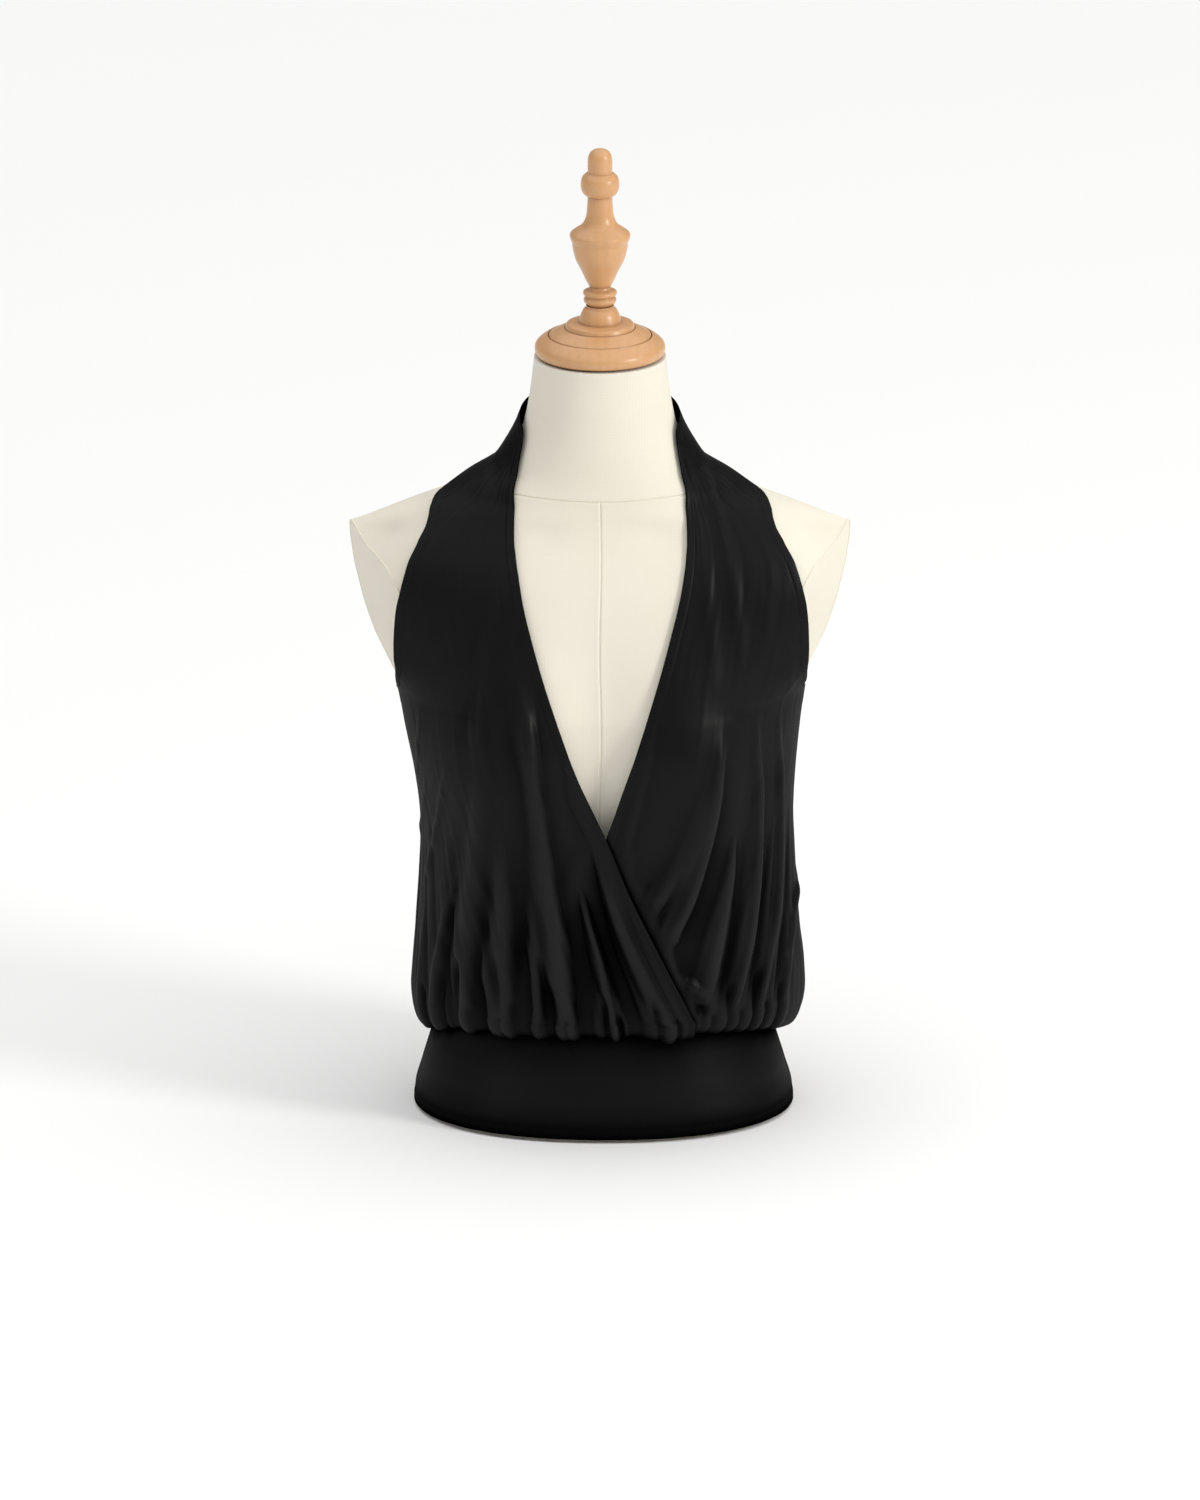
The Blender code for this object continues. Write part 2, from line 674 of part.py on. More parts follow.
nape = (NECKBAND_START, NECKBAND_END, NECKBAND_LOW, neckband_top, NECKBAND_COLUMNS, neckband_inner)
cloth_piece("neckband", band_rows(*nape), BAND_CLOTH, BLACK, top)
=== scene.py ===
import math

import bmesh
import bpy
import numpy as np
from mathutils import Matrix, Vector


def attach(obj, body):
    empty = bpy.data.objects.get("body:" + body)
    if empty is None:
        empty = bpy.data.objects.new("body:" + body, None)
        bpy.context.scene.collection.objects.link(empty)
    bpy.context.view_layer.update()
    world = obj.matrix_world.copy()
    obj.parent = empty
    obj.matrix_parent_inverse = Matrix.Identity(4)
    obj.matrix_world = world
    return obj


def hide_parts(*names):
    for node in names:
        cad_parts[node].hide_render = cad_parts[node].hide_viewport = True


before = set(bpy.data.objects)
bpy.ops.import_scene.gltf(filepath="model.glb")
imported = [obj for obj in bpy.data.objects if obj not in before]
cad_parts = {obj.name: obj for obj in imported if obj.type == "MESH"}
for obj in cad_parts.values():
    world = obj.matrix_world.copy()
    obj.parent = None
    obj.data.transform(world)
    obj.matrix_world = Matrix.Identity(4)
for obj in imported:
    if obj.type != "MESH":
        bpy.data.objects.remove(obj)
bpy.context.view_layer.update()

# Camera. It stands far off and looks a little down through a very long lens, so that lines stay
# parallel as in the photo. That is 1500 pixels high, and one pixel is 0.75 mm at the form's axis.
MM = 0.001
PIXEL = 0.75 * MM
PHOTO_HEIGHT = 1500
CAMERA_DISTANCE = 32.0
CAMERA_FALL = math.radians(17)
TARGET = Vector((0, 0, 0.274))
SENSOR = 36


def aimed(thing, position, target):
    """Place a camera or a light and point it at something."""
    thing.location = position
    thing.rotation_euler = (Vector(target) - Vector(position)).to_track_quat("-Z", "Y").to_euler()
    bpy.context.scene.collection.objects.link(thing)
    return thing


lens = bpy.data.cameras.new("long lens")
lens.sensor_width = SENSOR
lens.lens = SENSOR * CAMERA_DISTANCE / (PIXEL * PHOTO_HEIGHT)
lens.clip_end = 100
stand_off = Vector((0, -math.cos(CAMERA_FALL), math.sin(CAMERA_FALL))) * CAMERA_DISTANCE
bpy.context.scene.camera = aimed(bpy.data.objects.new("camera", lens), TARGET + stand_off, TARGET)

# Studio. A seamless pale floor, a large soft window to the right and in front, a weaker one to the
# left, and an even ceiling of light. The room itself gives a little light from all round.
FLOOR_SIZE = 40
ROOM_LIGHT = 0.27
CEILING_LIGHT, CEILING_SPREAD = 2.1, 110
WINDOWS = [
    # name, position, size, watts, colour
    ("right window", (3.0, -1.75, 1.9), 0.9, 60, (1.0, 0.985, 0.96)),
    ("left window", (-3.0, -2.4, 1.0), 1.2, 5, (0.97, 0.985, 1.0)),
]

bpy.context.scene.view_settings.view_transform = "Standard"
room = bpy.data.worlds.new("pale room")
room.use_nodes = True
room.node_tree.nodes["Background"].inputs["Color"].default_value = (1, 1, 1, 1)
room.node_tree.nodes["Background"].inputs["Strength"].default_value = ROOM_LIGHT
bpy.context.scene.world = room
for name, position, size, watts, colour in WINDOWS:
    window = bpy.data.lights.new(name, "AREA")
    window.size = size
    window.energy = watts
    window.color = colour
    aimed(bpy.data.objects.new(name, window), position, TARGET)
ceiling = bpy.data.lights.new("ceiling", "SUN")
ceiling.energy = CEILING_LIGHT
ceiling.angle = math.radians(CEILING_SPREAD)
aimed(bpy.data.objects.new("ceiling", ceiling), (0, 0, 4), (0, 0.01, 0))


class Flow:
    """A value in a shader. Sums on it add nodes, so that shader maths reads as plain expressions."""

    def __init__(self, tree, socket):
        self.tree = tree
        self.socket = socket

    def node(self, kind, values=None, output=0, stops=None, **settings):
        """Add a node: its settings first, then the values or links of its sockets."""
        made = self.tree.nodes.new("ShaderNode" + kind)
        for setting, value in settings.items():
            setattr(made, setting, value)
        if stops:
            ramp = made.color_ramp.elements
            while len(ramp) < len(stops):
                ramp.new(1)
            for element, (place, colour) in zip(ramp, stops):
                element.position = place
                element.color = colour
        for key, value in (values or {}).items():
            if isinstance(value, Flow):
                self.tree.links.new(value.socket, made.inputs[key])
            else:
                made.inputs[key].default_value = value
        return Flow(self.tree, made.outputs[output])

    def sum(self, operation, *terms):
        return self.node("Math", dict(enumerate(terms)), operation=operation)

    def __add__(self, other):
        return self.sum("ADD", self, other)

    __radd__ = __add__

    def __sub__(self, other):
        return self.sum("SUBTRACT", self, other)

    def __rsub__(self, other):
        return self.sum("SUBTRACT", other, self)

    def __mul__(self, other):
        return self.sum("MULTIPLY", self, other)

    __rmul__ = __mul__

    def mix(self, first, second):
        """A colour between two others, with this value as the share of the second."""
        return self.node("Mix", {0: self, 6: first, 7: second}, output=2, data_type="RGBA")


def finish(name, **constants):
    """A material with its constant sockets set. Returns it with a starting point for its nodes."""
    made = bpy.data.materials.new(name)
    made.use_nodes = True
    shader = made.node_tree.nodes["Principled BSDF"]
    for socket, value in constants.items():
        shader.inputs[socket.replace("_", " ")].default_value = value
    return made, Flow(made.node_tree, None), shader


def connect(shader, socket, flow):
    flow.tree.links.new(flow.socket, shader.inputs[socket])


floor_mesh = bpy.data.meshes.new("floor")
bm = bmesh.new()
bmesh.ops.create_grid(bm, x_segments=1, y_segments=1, size=FLOOR_SIZE / 2)
bm.to_mesh(floor_mesh)
bm.free()
floor = bpy.data.objects.new("floor", floor_mesh)
bpy.context.scene.collection.objects.link(floor)
paper, _, paper_shader = finish("white paper", Base_Color=(0.96, 0.96, 0.957, 1), Roughness=0.95)
floor_mesh.materials.append(paper)

# Dress form. A shop display torso of stiff foam under a stretched cream cover. The cover is sewn with
# a seam down the middle of the front and of the back, one round the neck, and one round each flat
# arm plate. Its underside is level, and it stands on that.
FORM_SECTIONS = np.array([
    # height, half_width, front, back
    (0, 129, 100, 92),
    (4, 136, 107, 99),
    (10, 138.5, 110, 102),
    (30, 133.5, 106.5, 99),
    (50, 127.5, 102, 95.5),
    (70, 122, 97.5, 91),
    (90, 119, 94.5, 88),
    (110, 118.5, 93, 86.5),
    (135, 121, 94.5, 87),
    (170, 125, 97.5, 90),
    (205, 128, 101, 94),
    (235, 131.5, 103, 98),
    (265, 136, 104, 101),
    (300, 143, 104, 105),
    (325, 148, 104, 106.5),
    (332, 151, 103.2, 107),
    (340, 158.5, 102, 107),
    (365, 189, 98, 106),
    (390, 204, 93, 103),
    (415, 211, 86, 97),
    (436, 208, 77, 88),
    (450, 197, 69, 79),
    (460, 171, 64, 72),
    (468, 148, 61, 68),
    (478, 115, 59, 64),
    (488, 97, 57.5, 61.5),
    (500, 76, 56, 59.5),
    (514, 65, 54.5, 57.5),
    (530, 57.5, 53, 55.5),
    (548, 53.5, 51.5, 53.5),
    (566, 51, 50, 51.5),
    (582.5, 49.3, 49, 49.3),
])
SQUARE_BODY = 0.2
NECK_BASE, SQUARE_FADE = 480, 60
HIP_SWAY = 0.02
HIP_TOP, HIP_FADE = 95, 40
ARM_POINTS = np.array([
    # height, front, back: how much a section comes to a point towards the arms
    (322, 0, 0),
    (345, 0, 0.8),
    (385, 0, 0.85),
    (404, 0.02, 0.92),
    (418, 0.3, 0.95),
    (430, 0.65, 1),
    (442, 0.95, 1),
    (450, 1, 1),
    (462, 0.6, 0.6),
    (476, 0, 0),
])
POINT_FRONT, POINT_FRONT_FADE = 66, 20
POINT_BACK, POINT_BACK_FADE = 130, 22
BUST_ANGLE, BUST_HEIGHT, BUST_DEPTH = 30, 283, 28
BUST_INNER, BUST_OUTER = 13, 21
BUST_ABOVE, BUST_BELOW = 55, 38
PLATE_TOP_X, PLATE_TOP_Z, PLATE_MID_Y = 188, 454, 5
PLATE_LEAN_Z, PLATE_LEAN_Y = 0.29, 0.39
PLATE_CUT_LOW, PLATE_CUT_HIGH = 330, 520
PLATE_CUT_OUT, PLATE_CUT_SIDE = 260, 140
PLATE_MID_Z, PLATE_REACH = 400, 110
COLLAR_ANGLE, COLLAR_WIDTH = 37, 10
HOLLOW_HEIGHT, HOLLOW_DEPTH, HOLLOW_SPREAD = 459, 2.4, 7
COLLARBONE_HEIGHT, COLLARBONE_RISE, COLLARBONE_SPREAD = 473, 1.2, 5
SEAM_CUT, SEAM_CUT_WIDTH = 0.7, 0.5
SEAM_SWELL, SEAM_SWELL_WIDTH = 0.35, 2.6
NECK_SEAM, NECK_SEAM_RISE, NECK_SEAM_SPREAD = 485, 9, 28
SEAM_WAVER, SEAM_WAVER_LENGTH = 0.45, 46
WELT = 0.55
FORM_COLUMNS = 240
HALVINGS = 30
CREAM = (0.815, 0.775, 0.665, 1)
CREAM_WORN = (0.75, 0.7, 0.58, 1)


def smooth(knots, values, at):
    """Read a table between its rows with a cubic that never overshoots them."""
    step = np.diff(knots)
    rise = np.diff(values) / step
    product = rise[:-1] * rise[1:]
    total = np.where(product > 0, rise[:-1] + rise[1:], 1)
    inner = np.where(product > 0, 2 * product / total, 0)
    slope = np.concatenate([rise[:1], inner, rise[-1:]])
    at = np.clip(at, knots[0], knots[-1])
    row = np.clip(np.searchsorted(knots, at, side="right") - 1, 0, len(knots) - 2)
    t = (at - knots[row]) / step[row]
    start = (1 + 2 * t) * (1 - t) ** 2 * values[row] + t * (1 - t) ** 2 * step[row] * slope[row]
    end = t ** 2 * (3 - 2 * t) * values[row + 1] + t ** 2 * (t - 1) * step[row] * slope[row + 1]
    return start + end


def section(table, height):
    """All columns of a table of sections at a height."""
    return [smooth(table[:, 0], column, height) for column in table[:, 1:].T]


def ease(value):
    """A smooth step from 0 to 1."""
    value = np.clip(value, 0, 1)
    return value * value * (3 - 2 * value)


def bell(value, width):
    return np.exp(-0.5 * (value / width) ** 2)


def larger(first, second, rounding):
    """The larger of two values, rounded where they meet."""
    return 0.5 * (first + second + np.sqrt((first - second) ** 2 + rounding ** 2))


def bust(angle, inner, outer):
    """Both sides of the bust as seen from above, from 0 to about 1."""
    total = 0
    for side in (-1, 1):
        away = angle * side - BUST_ANGLE
        total = total + bell(away, np.where(away < 0, inner, outer))
    return total


def turned(angle):
    """Bring an angle between -180 and 180. Zero is straight ahead."""
    return (angle + 180) % 360 - 180


def oval(angle, half_width, front, back, power):
    """Distance from the axis to a rounded oval with unlike front and back."""
    sine = np.abs(np.sin(np.radians(angle))) / half_width
    cosine = np.cos(np.radians(angle))
    depth = np.where(cosine > 0, front, back)
    return (sine ** power + (np.abs(cosine) / depth) ** power) ** (-1 / power)


def form_radius(angle, height):
    """Distance from the axis to the form's cover, without its seams."""
    angle = turned(angle)
    half_width, front, back = section(FORM_SECTIONS, height)
    power = 2 + SQUARE_BODY * ease((NECK_BASE - height) / SQUARE_FADE) - arm_point(angle, height)
    rise = bell(height - BUST_HEIGHT, np.where(height > BUST_HEIGHT, BUST_ABOVE, BUST_BELOW))
    padding = BUST_DEPTH * rise * bust(angle, BUST_INNER, BUST_OUTER)
    sway = 1 + HIP_SWAY * np.sin(np.radians(angle)) * ease((HIP_TOP - height) / HIP_FADE)
    return oval(angle, half_width, front, back, power) * sway + padding


def arm_point(angle, height):
    """How much less round a section is close to the arms."""
    front, back = section(ARM_POINTS, height)
    away = np.abs(angle)
    ahead = front * ease((away - POINT_FRONT) / POINT_FRONT_FADE)
    behind = back * ease((POINT_BACK - away) / POINT_BACK_FADE)
    return np.where(away < 90, ahead, behind)


def at_radius(radius, angle, height):
    """A point in space from its distance to the axis, its angle and its height."""
    turn = np.radians(angle)
    height = np.broadcast_to(height, np.shape(radius))
    return np.stack([radius * np.sin(turn), -radius * np.cos(turn), height], axis=-1)


def seam_profile(away):
    """How a sewn seam sinks along its stitches and swells over its allowances."""
    return SEAM_SWELL * bell(away, SEAM_SWELL_WIDTH) - (SEAM_CUT + SEAM_SWELL) * bell(away, SEAM_CUT_WIDTH)


def neck_seam_height(angle):
    """The neck seam is lowest in front and climbs to the nape."""
    return NECK_SEAM + NECK_SEAM_RISE * (1 - np.cos(np.radians(angle))) / 2


def form_skin(angle, height):
    """The form's cover with its collarbones and its seams."""
    radius = form_radius(angle, height)
    aside = np.abs(turned(angle)) - COLLAR_ANGLE
    hollow = HOLLOW_DEPTH * bell(height - HOLLOW_HEIGHT, HOLLOW_SPREAD) * bell(aside, COLLAR_WIDTH)
    bone = COLLARBONE_RISE * bell(height - COLLARBONE_HEIGHT, COLLARBONE_SPREAD)
    relief = bone * bell(aside, 1.4 * COLLAR_WIDTH) - hollow
    below_neck = ease((neck_seam_height(angle) - height) / 1.5)
    middle = radius * np.sin(np.radians(angle - seam_waver(angle, height)))
    relief = relief + seam_profile(middle) * below_neck
    relief = relief + seam_profile(height - neck_seam_height(angle))
    return radius + relief


def seam_waver(angle, height):
    """The middle seam wanders a little, as hand-stretched covers do."""
    waver = np.sin(height / SEAM_WAVER_LENGTH * 2 + 0.6) + 0.6 * np.sin(height / SEAM_WAVER_LENGTH * 0.9)
    return SEAM_WAVER * waver * (bell(angle, 6) + bell(np.abs(angle) - 180, 6))


def plate_x(y, z):
    """Where the plane of an arm plate lies."""
    return PLATE_TOP_X + PLATE_LEAN_Z * (z - PLATE_TOP_Z) + PLATE_LEAN_Y * (y - PLATE_MID_Y)


def mesh_object(name, vertices, faces, uv=None, hollow=None):
    """A smooth-shaded mesh in the scene, from points in millimetres."""
    mesh = bpy.data.meshes.new(name)
    mesh.from_pydata(np.asarray(vertices) * MM, [], faces)
    if uv is not None:
        layer = mesh.uv_layers.new(name="cut")
        corners = np.empty(len(mesh.loops), dtype=np.int32)
        mesh.loops.foreach_get("vertex_index", corners)
        layer.data.foreach_set("uv", np.asarray(uv)[corners].astype(np.float32).ravel())
    if hollow is not None:
        mesh.attributes.new("hollow", "FLOAT", "POINT").data.foreach_set("value", hollow.astype(np.float32))
    mesh.shade_smooth()
    piece = bpy.data.objects.new(name, mesh)
    bpy.context.scene.collection.objects.link(piece)
    return piece


def ring_quads(total, count, closed=False):
    """Faces between rings of points, and from the last ring to the first where they close."""
    quads = []
    for ring in range(total if closed else total - 1):
        low, high = ring * count, (ring + 1) % total * count
        for i in range(count):
            after = (i + 1) % count
            quads.append((low + i, low + after, high + after, high + i))
    return quads


def apply_modifiers(piece):
    """Keep the result of a piece's modifiers as its mesh."""
    result = bpy.data.meshes.new_from_object(piece.evaluated_get(bpy.context.evaluated_depsgraph_get()))
    piece.modifiers.clear()
    piece.data = result
    return piece


def form_angles():
    """Angles of the form's columns, closer together at the middle seams."""
    close = np.array([0.25, 0.5, 0.8, 1.15])
    even = np.arange(FORM_COLUMNS) * 360 / FORM_COLUMNS
    extra = np.concatenate([close, 360 - close, 180 - close, 180 + close])
    return np.unique(np.concatenate([even, extra]))


angles = form_angles()
form_heights = np.unique(np.concatenate([
    [0, 0.4, 1.5, 4, 7, 10, 14],
    np.arange(20, 226, 8),
    np.arange(228, 582, 2.2),
    NECK_SEAM + np.array([-1.6, -1, -0.5, 0, 0.5, 1, 1.6]),
    [582.5],
]))
rings = []
for height in form_heights:
    column = turned(angles)
    level = height + (neck_seam_height(column) - NECK_SEAM) * bell(height - NECK_SEAM, NECK_SEAM_SPREAD)
    if height > form_heights[-1] - 1:
        level = np.full(column.shape, height)
    column = column + seam_waver(column, level)
    rings.append(at_radius(form_skin(column, level), column, level))
count = len(angles)
faces = ring_quads(len(rings), count)
faces.append(tuple(range(count))[::-1])
faces.append(tuple((len(rings) - 1) * count + i for i in range(count)))
form_cover = mesh_object("form_cover", np.concatenate(rings), faces)

for side in (-1, 1):
    bm = bmesh.new()
    bmesh.ops.create_cube(bm, size=2)
    for corner in bm.verts:
        y = PLATE_CUT_SIDE * corner.co.y
        z = PLATE_CUT_HIGH if corner.co.z > 0 else PLATE_CUT_LOW
        x = PLATE_CUT_OUT if corner.co.x > 0 else plate_x(y, z)
        corner.co = (side * x * MM, y * MM, z * MM)
    if side < 0:
        bmesh.ops.reverse_faces(bm, faces=bm.faces[:])
    block = bpy.data.objects.new("plate block", bpy.data.meshes.new("plate block"))
    bm.to_mesh(block.data)
    bm.free()
    bpy.context.scene.collection.objects.link(block)
    cut = form_cover.modifiers.new("plate", "BOOLEAN")
    cut.operation = "DIFFERENCE"
    cut.solver = "EXACT"
    cut.object = block
    apply_modifiers(form_cover)
    bpy.data.objects.remove(block)
form_cover.data.set_sharp_from_angle(angle=math.radians(32))

cream, flow, shader = finish(
    "stretched cream cover", Specular_IOR_Level=0.25, Sheen_Weight=0.12, Sheen_Roughness=0.5,
)
place = flow.node("TexCoord", output="Object")
threads = {"Vector": place, "Scale": 900.0 / 6.283, "Distortion": 1.2}
across = flow.node("TexWave", threads, output=1)
upright = flow.node("TexWave", threads, output=1, bands_direction="Z")
slubs = flow.node("TexNoise", {"Vector": place, "Scale": 420.0, "Detail": 3.0})
patches = flow.node("TexNoise", {"Vector": place, "Scale": 7.0, "Detail": 4.0, "Roughness": 0.55})
shade = patches.node("ValToRGB", {0: patches}, stops=[(0.35, (0, 0, 0, 1)), (0.75, (1, 1, 1, 1))])
worn = shade * 0.55 + slubs * 0.18
connect(shader, "Base Color", worn.mix(CREAM, CREAM_WORN))
connect(shader, "Roughness", slubs * 0.12 + 0.8)
cloth_height = across * 0.5 + upright * 0.5 + slubs * 0.9
connect(shader, "Normal", flow.node("Bump", {"Height": cloth_height, "Strength": 0.16, "Distance": 0.0003}))
form_cover.data.materials.clear()
form_cover.data.materials.append(cream)
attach(form_cover, "root")
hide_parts("form_body")


def tube(name, centres, radius, sides=8):
    """A closed ring of cord through a closed loop of points."""
    centres = np.asarray(centres)
    ahead = np.roll(centres, -1, axis=0) - np.roll(centres, 1, axis=0)
    ahead /= np.linalg.norm(ahead, axis=1, keepdims=True)
    out = centres - centres.mean(axis=0)
    out -= (out * ahead).sum(axis=1, keepdims=True) * ahead
    out /= np.linalg.norm(out, axis=1, keepdims=True)
    up = np.cross(ahead, out)
    turn = np.arange(sides) * 2 * np.pi / sides
    points = centres[:, None] + radius * (
        np.cos(turn)[None, :, None] * out[:, None] + np.sin(turn)[None, :, None] * up[:, None]
    )
    return mesh_object(name, points.reshape(-1, 3), ring_quads(len(centres), sides, closed=True))


for side, name in ((-1, "arm_plate_seam_left"), (1, "arm_plate_seam_right")):
    way = np.radians(np.arange(0, 360, 2))
    near, far = np.zeros(way.shape), np.full(way.shape, float(PLATE_REACH))
    for _ in range(HALVINGS):
        middle = 0.5 * (near + far)
        y = PLATE_MID_Y + middle * np.cos(way)
        z = PLATE_MID_Z + middle * np.sin(way)
        x = plate_x(y, z)
        outside = np.hypot(x, y) > form_skin(np.degrees(np.arctan2(x, -y)), z)
        far = np.where(outside, middle, far)
        near = np.where(outside, near, middle)
    welt = tube(name, np.stack([side * x, y, z], axis=-1), WELT)
    welt.data.materials.append(cream)
    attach(welt, "root")

# Neck cap and finial. Both are turned from pale beech, oiled to a warm tan and rubbed to a satin
# finish. The cap has a rounded rim, a groove and two steps; the finial screws into it.
NECK_CAP_PROFILE = [
    # radius, height, sharp
    (0, 622, 1), (10.4, 622, 1), (10.4, 621, 0), (12.3, 619, 0), (14.2, 615.5, 0), (15.6, 611, 0),
    (16, 609, 1), (24.5, 608, 0), (25.6, 606.3, 0), (26.2, 604.2, 1), (27, 604.6, 0), (33, 602, 0),
    (37.9, 599.3, 1), (38.7, 597.8, 1), (39.5, 598.8, 0), (43.5, 596.5, 0), (47.5, 593, 0),
    (48.9, 589.2, 0), (47.5, 584.5, 0), (43, 582.8, 1), (0, 582.8, 1),
]
FINIAL_PROFILE = [
    # radius, height, sharp
    (0, 743.6, 0), (5, 742.5, 0), (8, 739.5, 0), (9.2, 735, 0), (9.2, 725.2, 1), (10.5, 724.5, 0),
    (13.4, 721.5, 0), (14.5, 717, 0), (14.1, 712.5, 0), (12, 708.5, 0), (9.2, 707, 1), (9.7, 698, 0),
    (10.6, 691, 0), (13.5, 684.8, 0), (19.1, 680.5, 1), (22.2, 678, 0), (22.6, 675.5, 0),
    (21.6, 672.5, 0), (20.9, 671, 1), (20.6, 667, 0), (18.3, 658, 0), (14.2, 649.6, 0), (10.3, 641, 0),
    (7.7, 636.5, 1), (8.6, 634.8, 0), (12.3, 633, 0), (12.5, 630.8, 0), (11, 629.2, 1), (11.2, 628.6, 0),
    (12.2, 627, 0), (12, 625, 0), (9.5, 622.3, 1), (0, 622.3, 1),
]
LATHE_STEPS = 128
PROFILE_STEPS = 6
BEECH_LIGHT = (0.66, 0.37, 0.17, 1)
BEECH_DARK = (0.56, 0.285, 0.12, 1)
# Colour of the painted shade in the wood's grooves and recesses
GROOVE_SHADE = (0.22, 0.085, 0.03, 1)


def rounded(profile):
    """Round a turned profile between its points, apart from those marked sharp."""
    points = np.array(profile, dtype=float)
    places, sharp = points[:, :2], points[:, 2]
    ways = np.zeros_like(places)
    ways[1:-1] = (places[2:] - places[:-2]) / 2
    out = []
    for index in range(len(places) - 1):
        start, end = places[index], places[index + 1]
        chord = end - start
        leave = chord if sharp[index] or index == 0 else ways[index]
        arrive = chord if sharp[index + 1] or index == len(places) - 2 else ways[index + 1]
        size = np.linalg.norm(chord)
        leave = leave * min(1, size / max(np.linalg.norm(leave), 1e-6))
        arrive = arrive * min(1, size / max(np.linalg.norm(arrive), 1e-6))
        for t in np.arange(PROFILE_STEPS) / PROFILE_STEPS:
            out.append(
                (1 + 2 * t) * (1 - t) ** 2 * start + t * (1 - t) ** 2 * leave
                + t ** 2 * (3 - 2 * t) * end + t ** 2 * (t - 1) * arrive
            )
    out.append(places[-1])
    return np.array(out)


beech, flow, shader = finish(
    "oiled beech", Specular_IOR_Level=0.45, Coat_Weight=0.3, Coat_Roughness=0.24,
)
place = flow.node("TexCoord", output="Object")
stretched = flow.node("Mapping", {"Vector": place, "Scale": (1, 1, 0.12), "Location": (0.013, 0.004, 0)})
figure = flow.node("TexNoise", {"Vector": stretched, "Scale": 38.0, "Detail": 5.0, "Roughness": 0.6})
flecks = flow.node("Mapping", {"Vector": place, "Scale": (1, 1, 0.28)})
rays = flow.node("TexNoise", {"Vector": flecks, "Scale": 520.0, "Detail": 2.0})
rings_of_growth = flow.node(
    "TexWave", {"Vector": stretched, "Scale": 42.0, "Distortion": 5.0, "Detail": 2.0}, output=1,
)
grain = figure * 0.55 + rings_of_growth * 0.12 + rays * 0.3
tone = flow.node("ValToRGB", {0: grain}, stops=[(0.25, (0, 0, 0, 1)), (0.8, (1, 1, 1, 1))])
# Painted shade: ambient occlusion darkens the wood towards a near-black brown in its grooves, under its
# steps and where it meets other parts.
painted_shade_mask = flow.node("AmbientOcclusion", {"Distance": 0.007}, output="AO", samples=8)
body_colour = (tone * 0.8).mix(BEECH_LIGHT, BEECH_DARK)
groove_shade = flow.node("ValToRGB", {0: 1 - painted_shade_mask}, stops=[(0.12, (0, 0, 0, 1)), (0.6, (1, 1, 1, 1))])
connect(shader, "Base Color", (groove_shade * 0.9).mix(body_colour, GROOVE_SHADE))
connect(shader, "Roughness", rays * 0.14 + 0.34)
connect(shader, "Normal", flow.node("Bump", {"Height": rays + grain, "Strength": 0.08, "Distance": 0.0004}))

for name, profile, node in (
    ("neck_cap_wood", NECK_CAP_PROFILE, "neck_cap"),
    ("finial_wood", FINIAL_PROFILE, "finial"),
):
    outline = rounded(profile)
    mesh = bpy.data.meshes.new(name)
    mesh.from_pydata(
        [(radius * MM, 0, height * MM) for radius, height in outline],
        [(i, i + 1) for i in range(len(outline) - 1)],
        [],
    )
    wood = bpy.data.objects.new(name, mesh)
    bpy.context.scene.collection.objects.link(wood)
    lathe = wood.modifiers.new("lathe", "SCREW")
    lathe.steps = LATHE_STEPS
    lathe.render_steps = LATHE_STEPS
    lathe.use_merge_vertices = True
    lathe.merge_threshold = 0.00001
    lathe.use_smooth_shade = True
    apply_modifiers(wood)
    wood.data.set_sharp_from_angle(angle=math.radians(38))
    wood.data.materials.append(beech)
    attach(wood, "root")
    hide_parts(node)

# Fronts. Two like pieces of soft black viscose jersey, each cut in one with its halter strap and
# narrowly hemmed along both long edges. The one at photo-left laps over the other; both are gathered
# into the waistband and blouse over that seam.
DRAPE_SECTIONS = np.array([
    # height, left, right, front, back, bust
    (60, 131, 141, 103, 100, 4),
    (85, 136, 148, 104.5, 103, 6),
    (110, 134.5, 147, 105, 104.5, 8),
    (140, 132, 143.5, 106, 105, 10),
    (180, 129.5, 141, 107.5, 104, 13),
    (220, 129, 141, 109, 102, 17),
    (260, 133, 143, 110, 101, 20),
    (300, 141, 146.5, 110, 100, 18),
    (340, 147, 151, 104, 98, 8),
    (400, 140, 140, 85, 90, 0),
    (450, 100, 100, 60, 60, 0),
    (600, 30, 30, 30, 30, 0),
])
DRAPE_INNER, DRAPE_OUTER = 16, 24
DRAPE_ROUNDING, BUST_ROUNDING = 3, 6
BUST_ROUNDING_END, BUST_ROUNDING_FADE = 60, 25
BLOUSE_PUFF, BLOUSE_TOP, BLOUSE_FADE = 4, 260, 110
BRIDGE, BRIDGE_HEIGHT, BRIDGE_SPREAD = 3, 500, 16
BRIDGE_ANGLE, BRIDGE_WIDTH = 90, 26
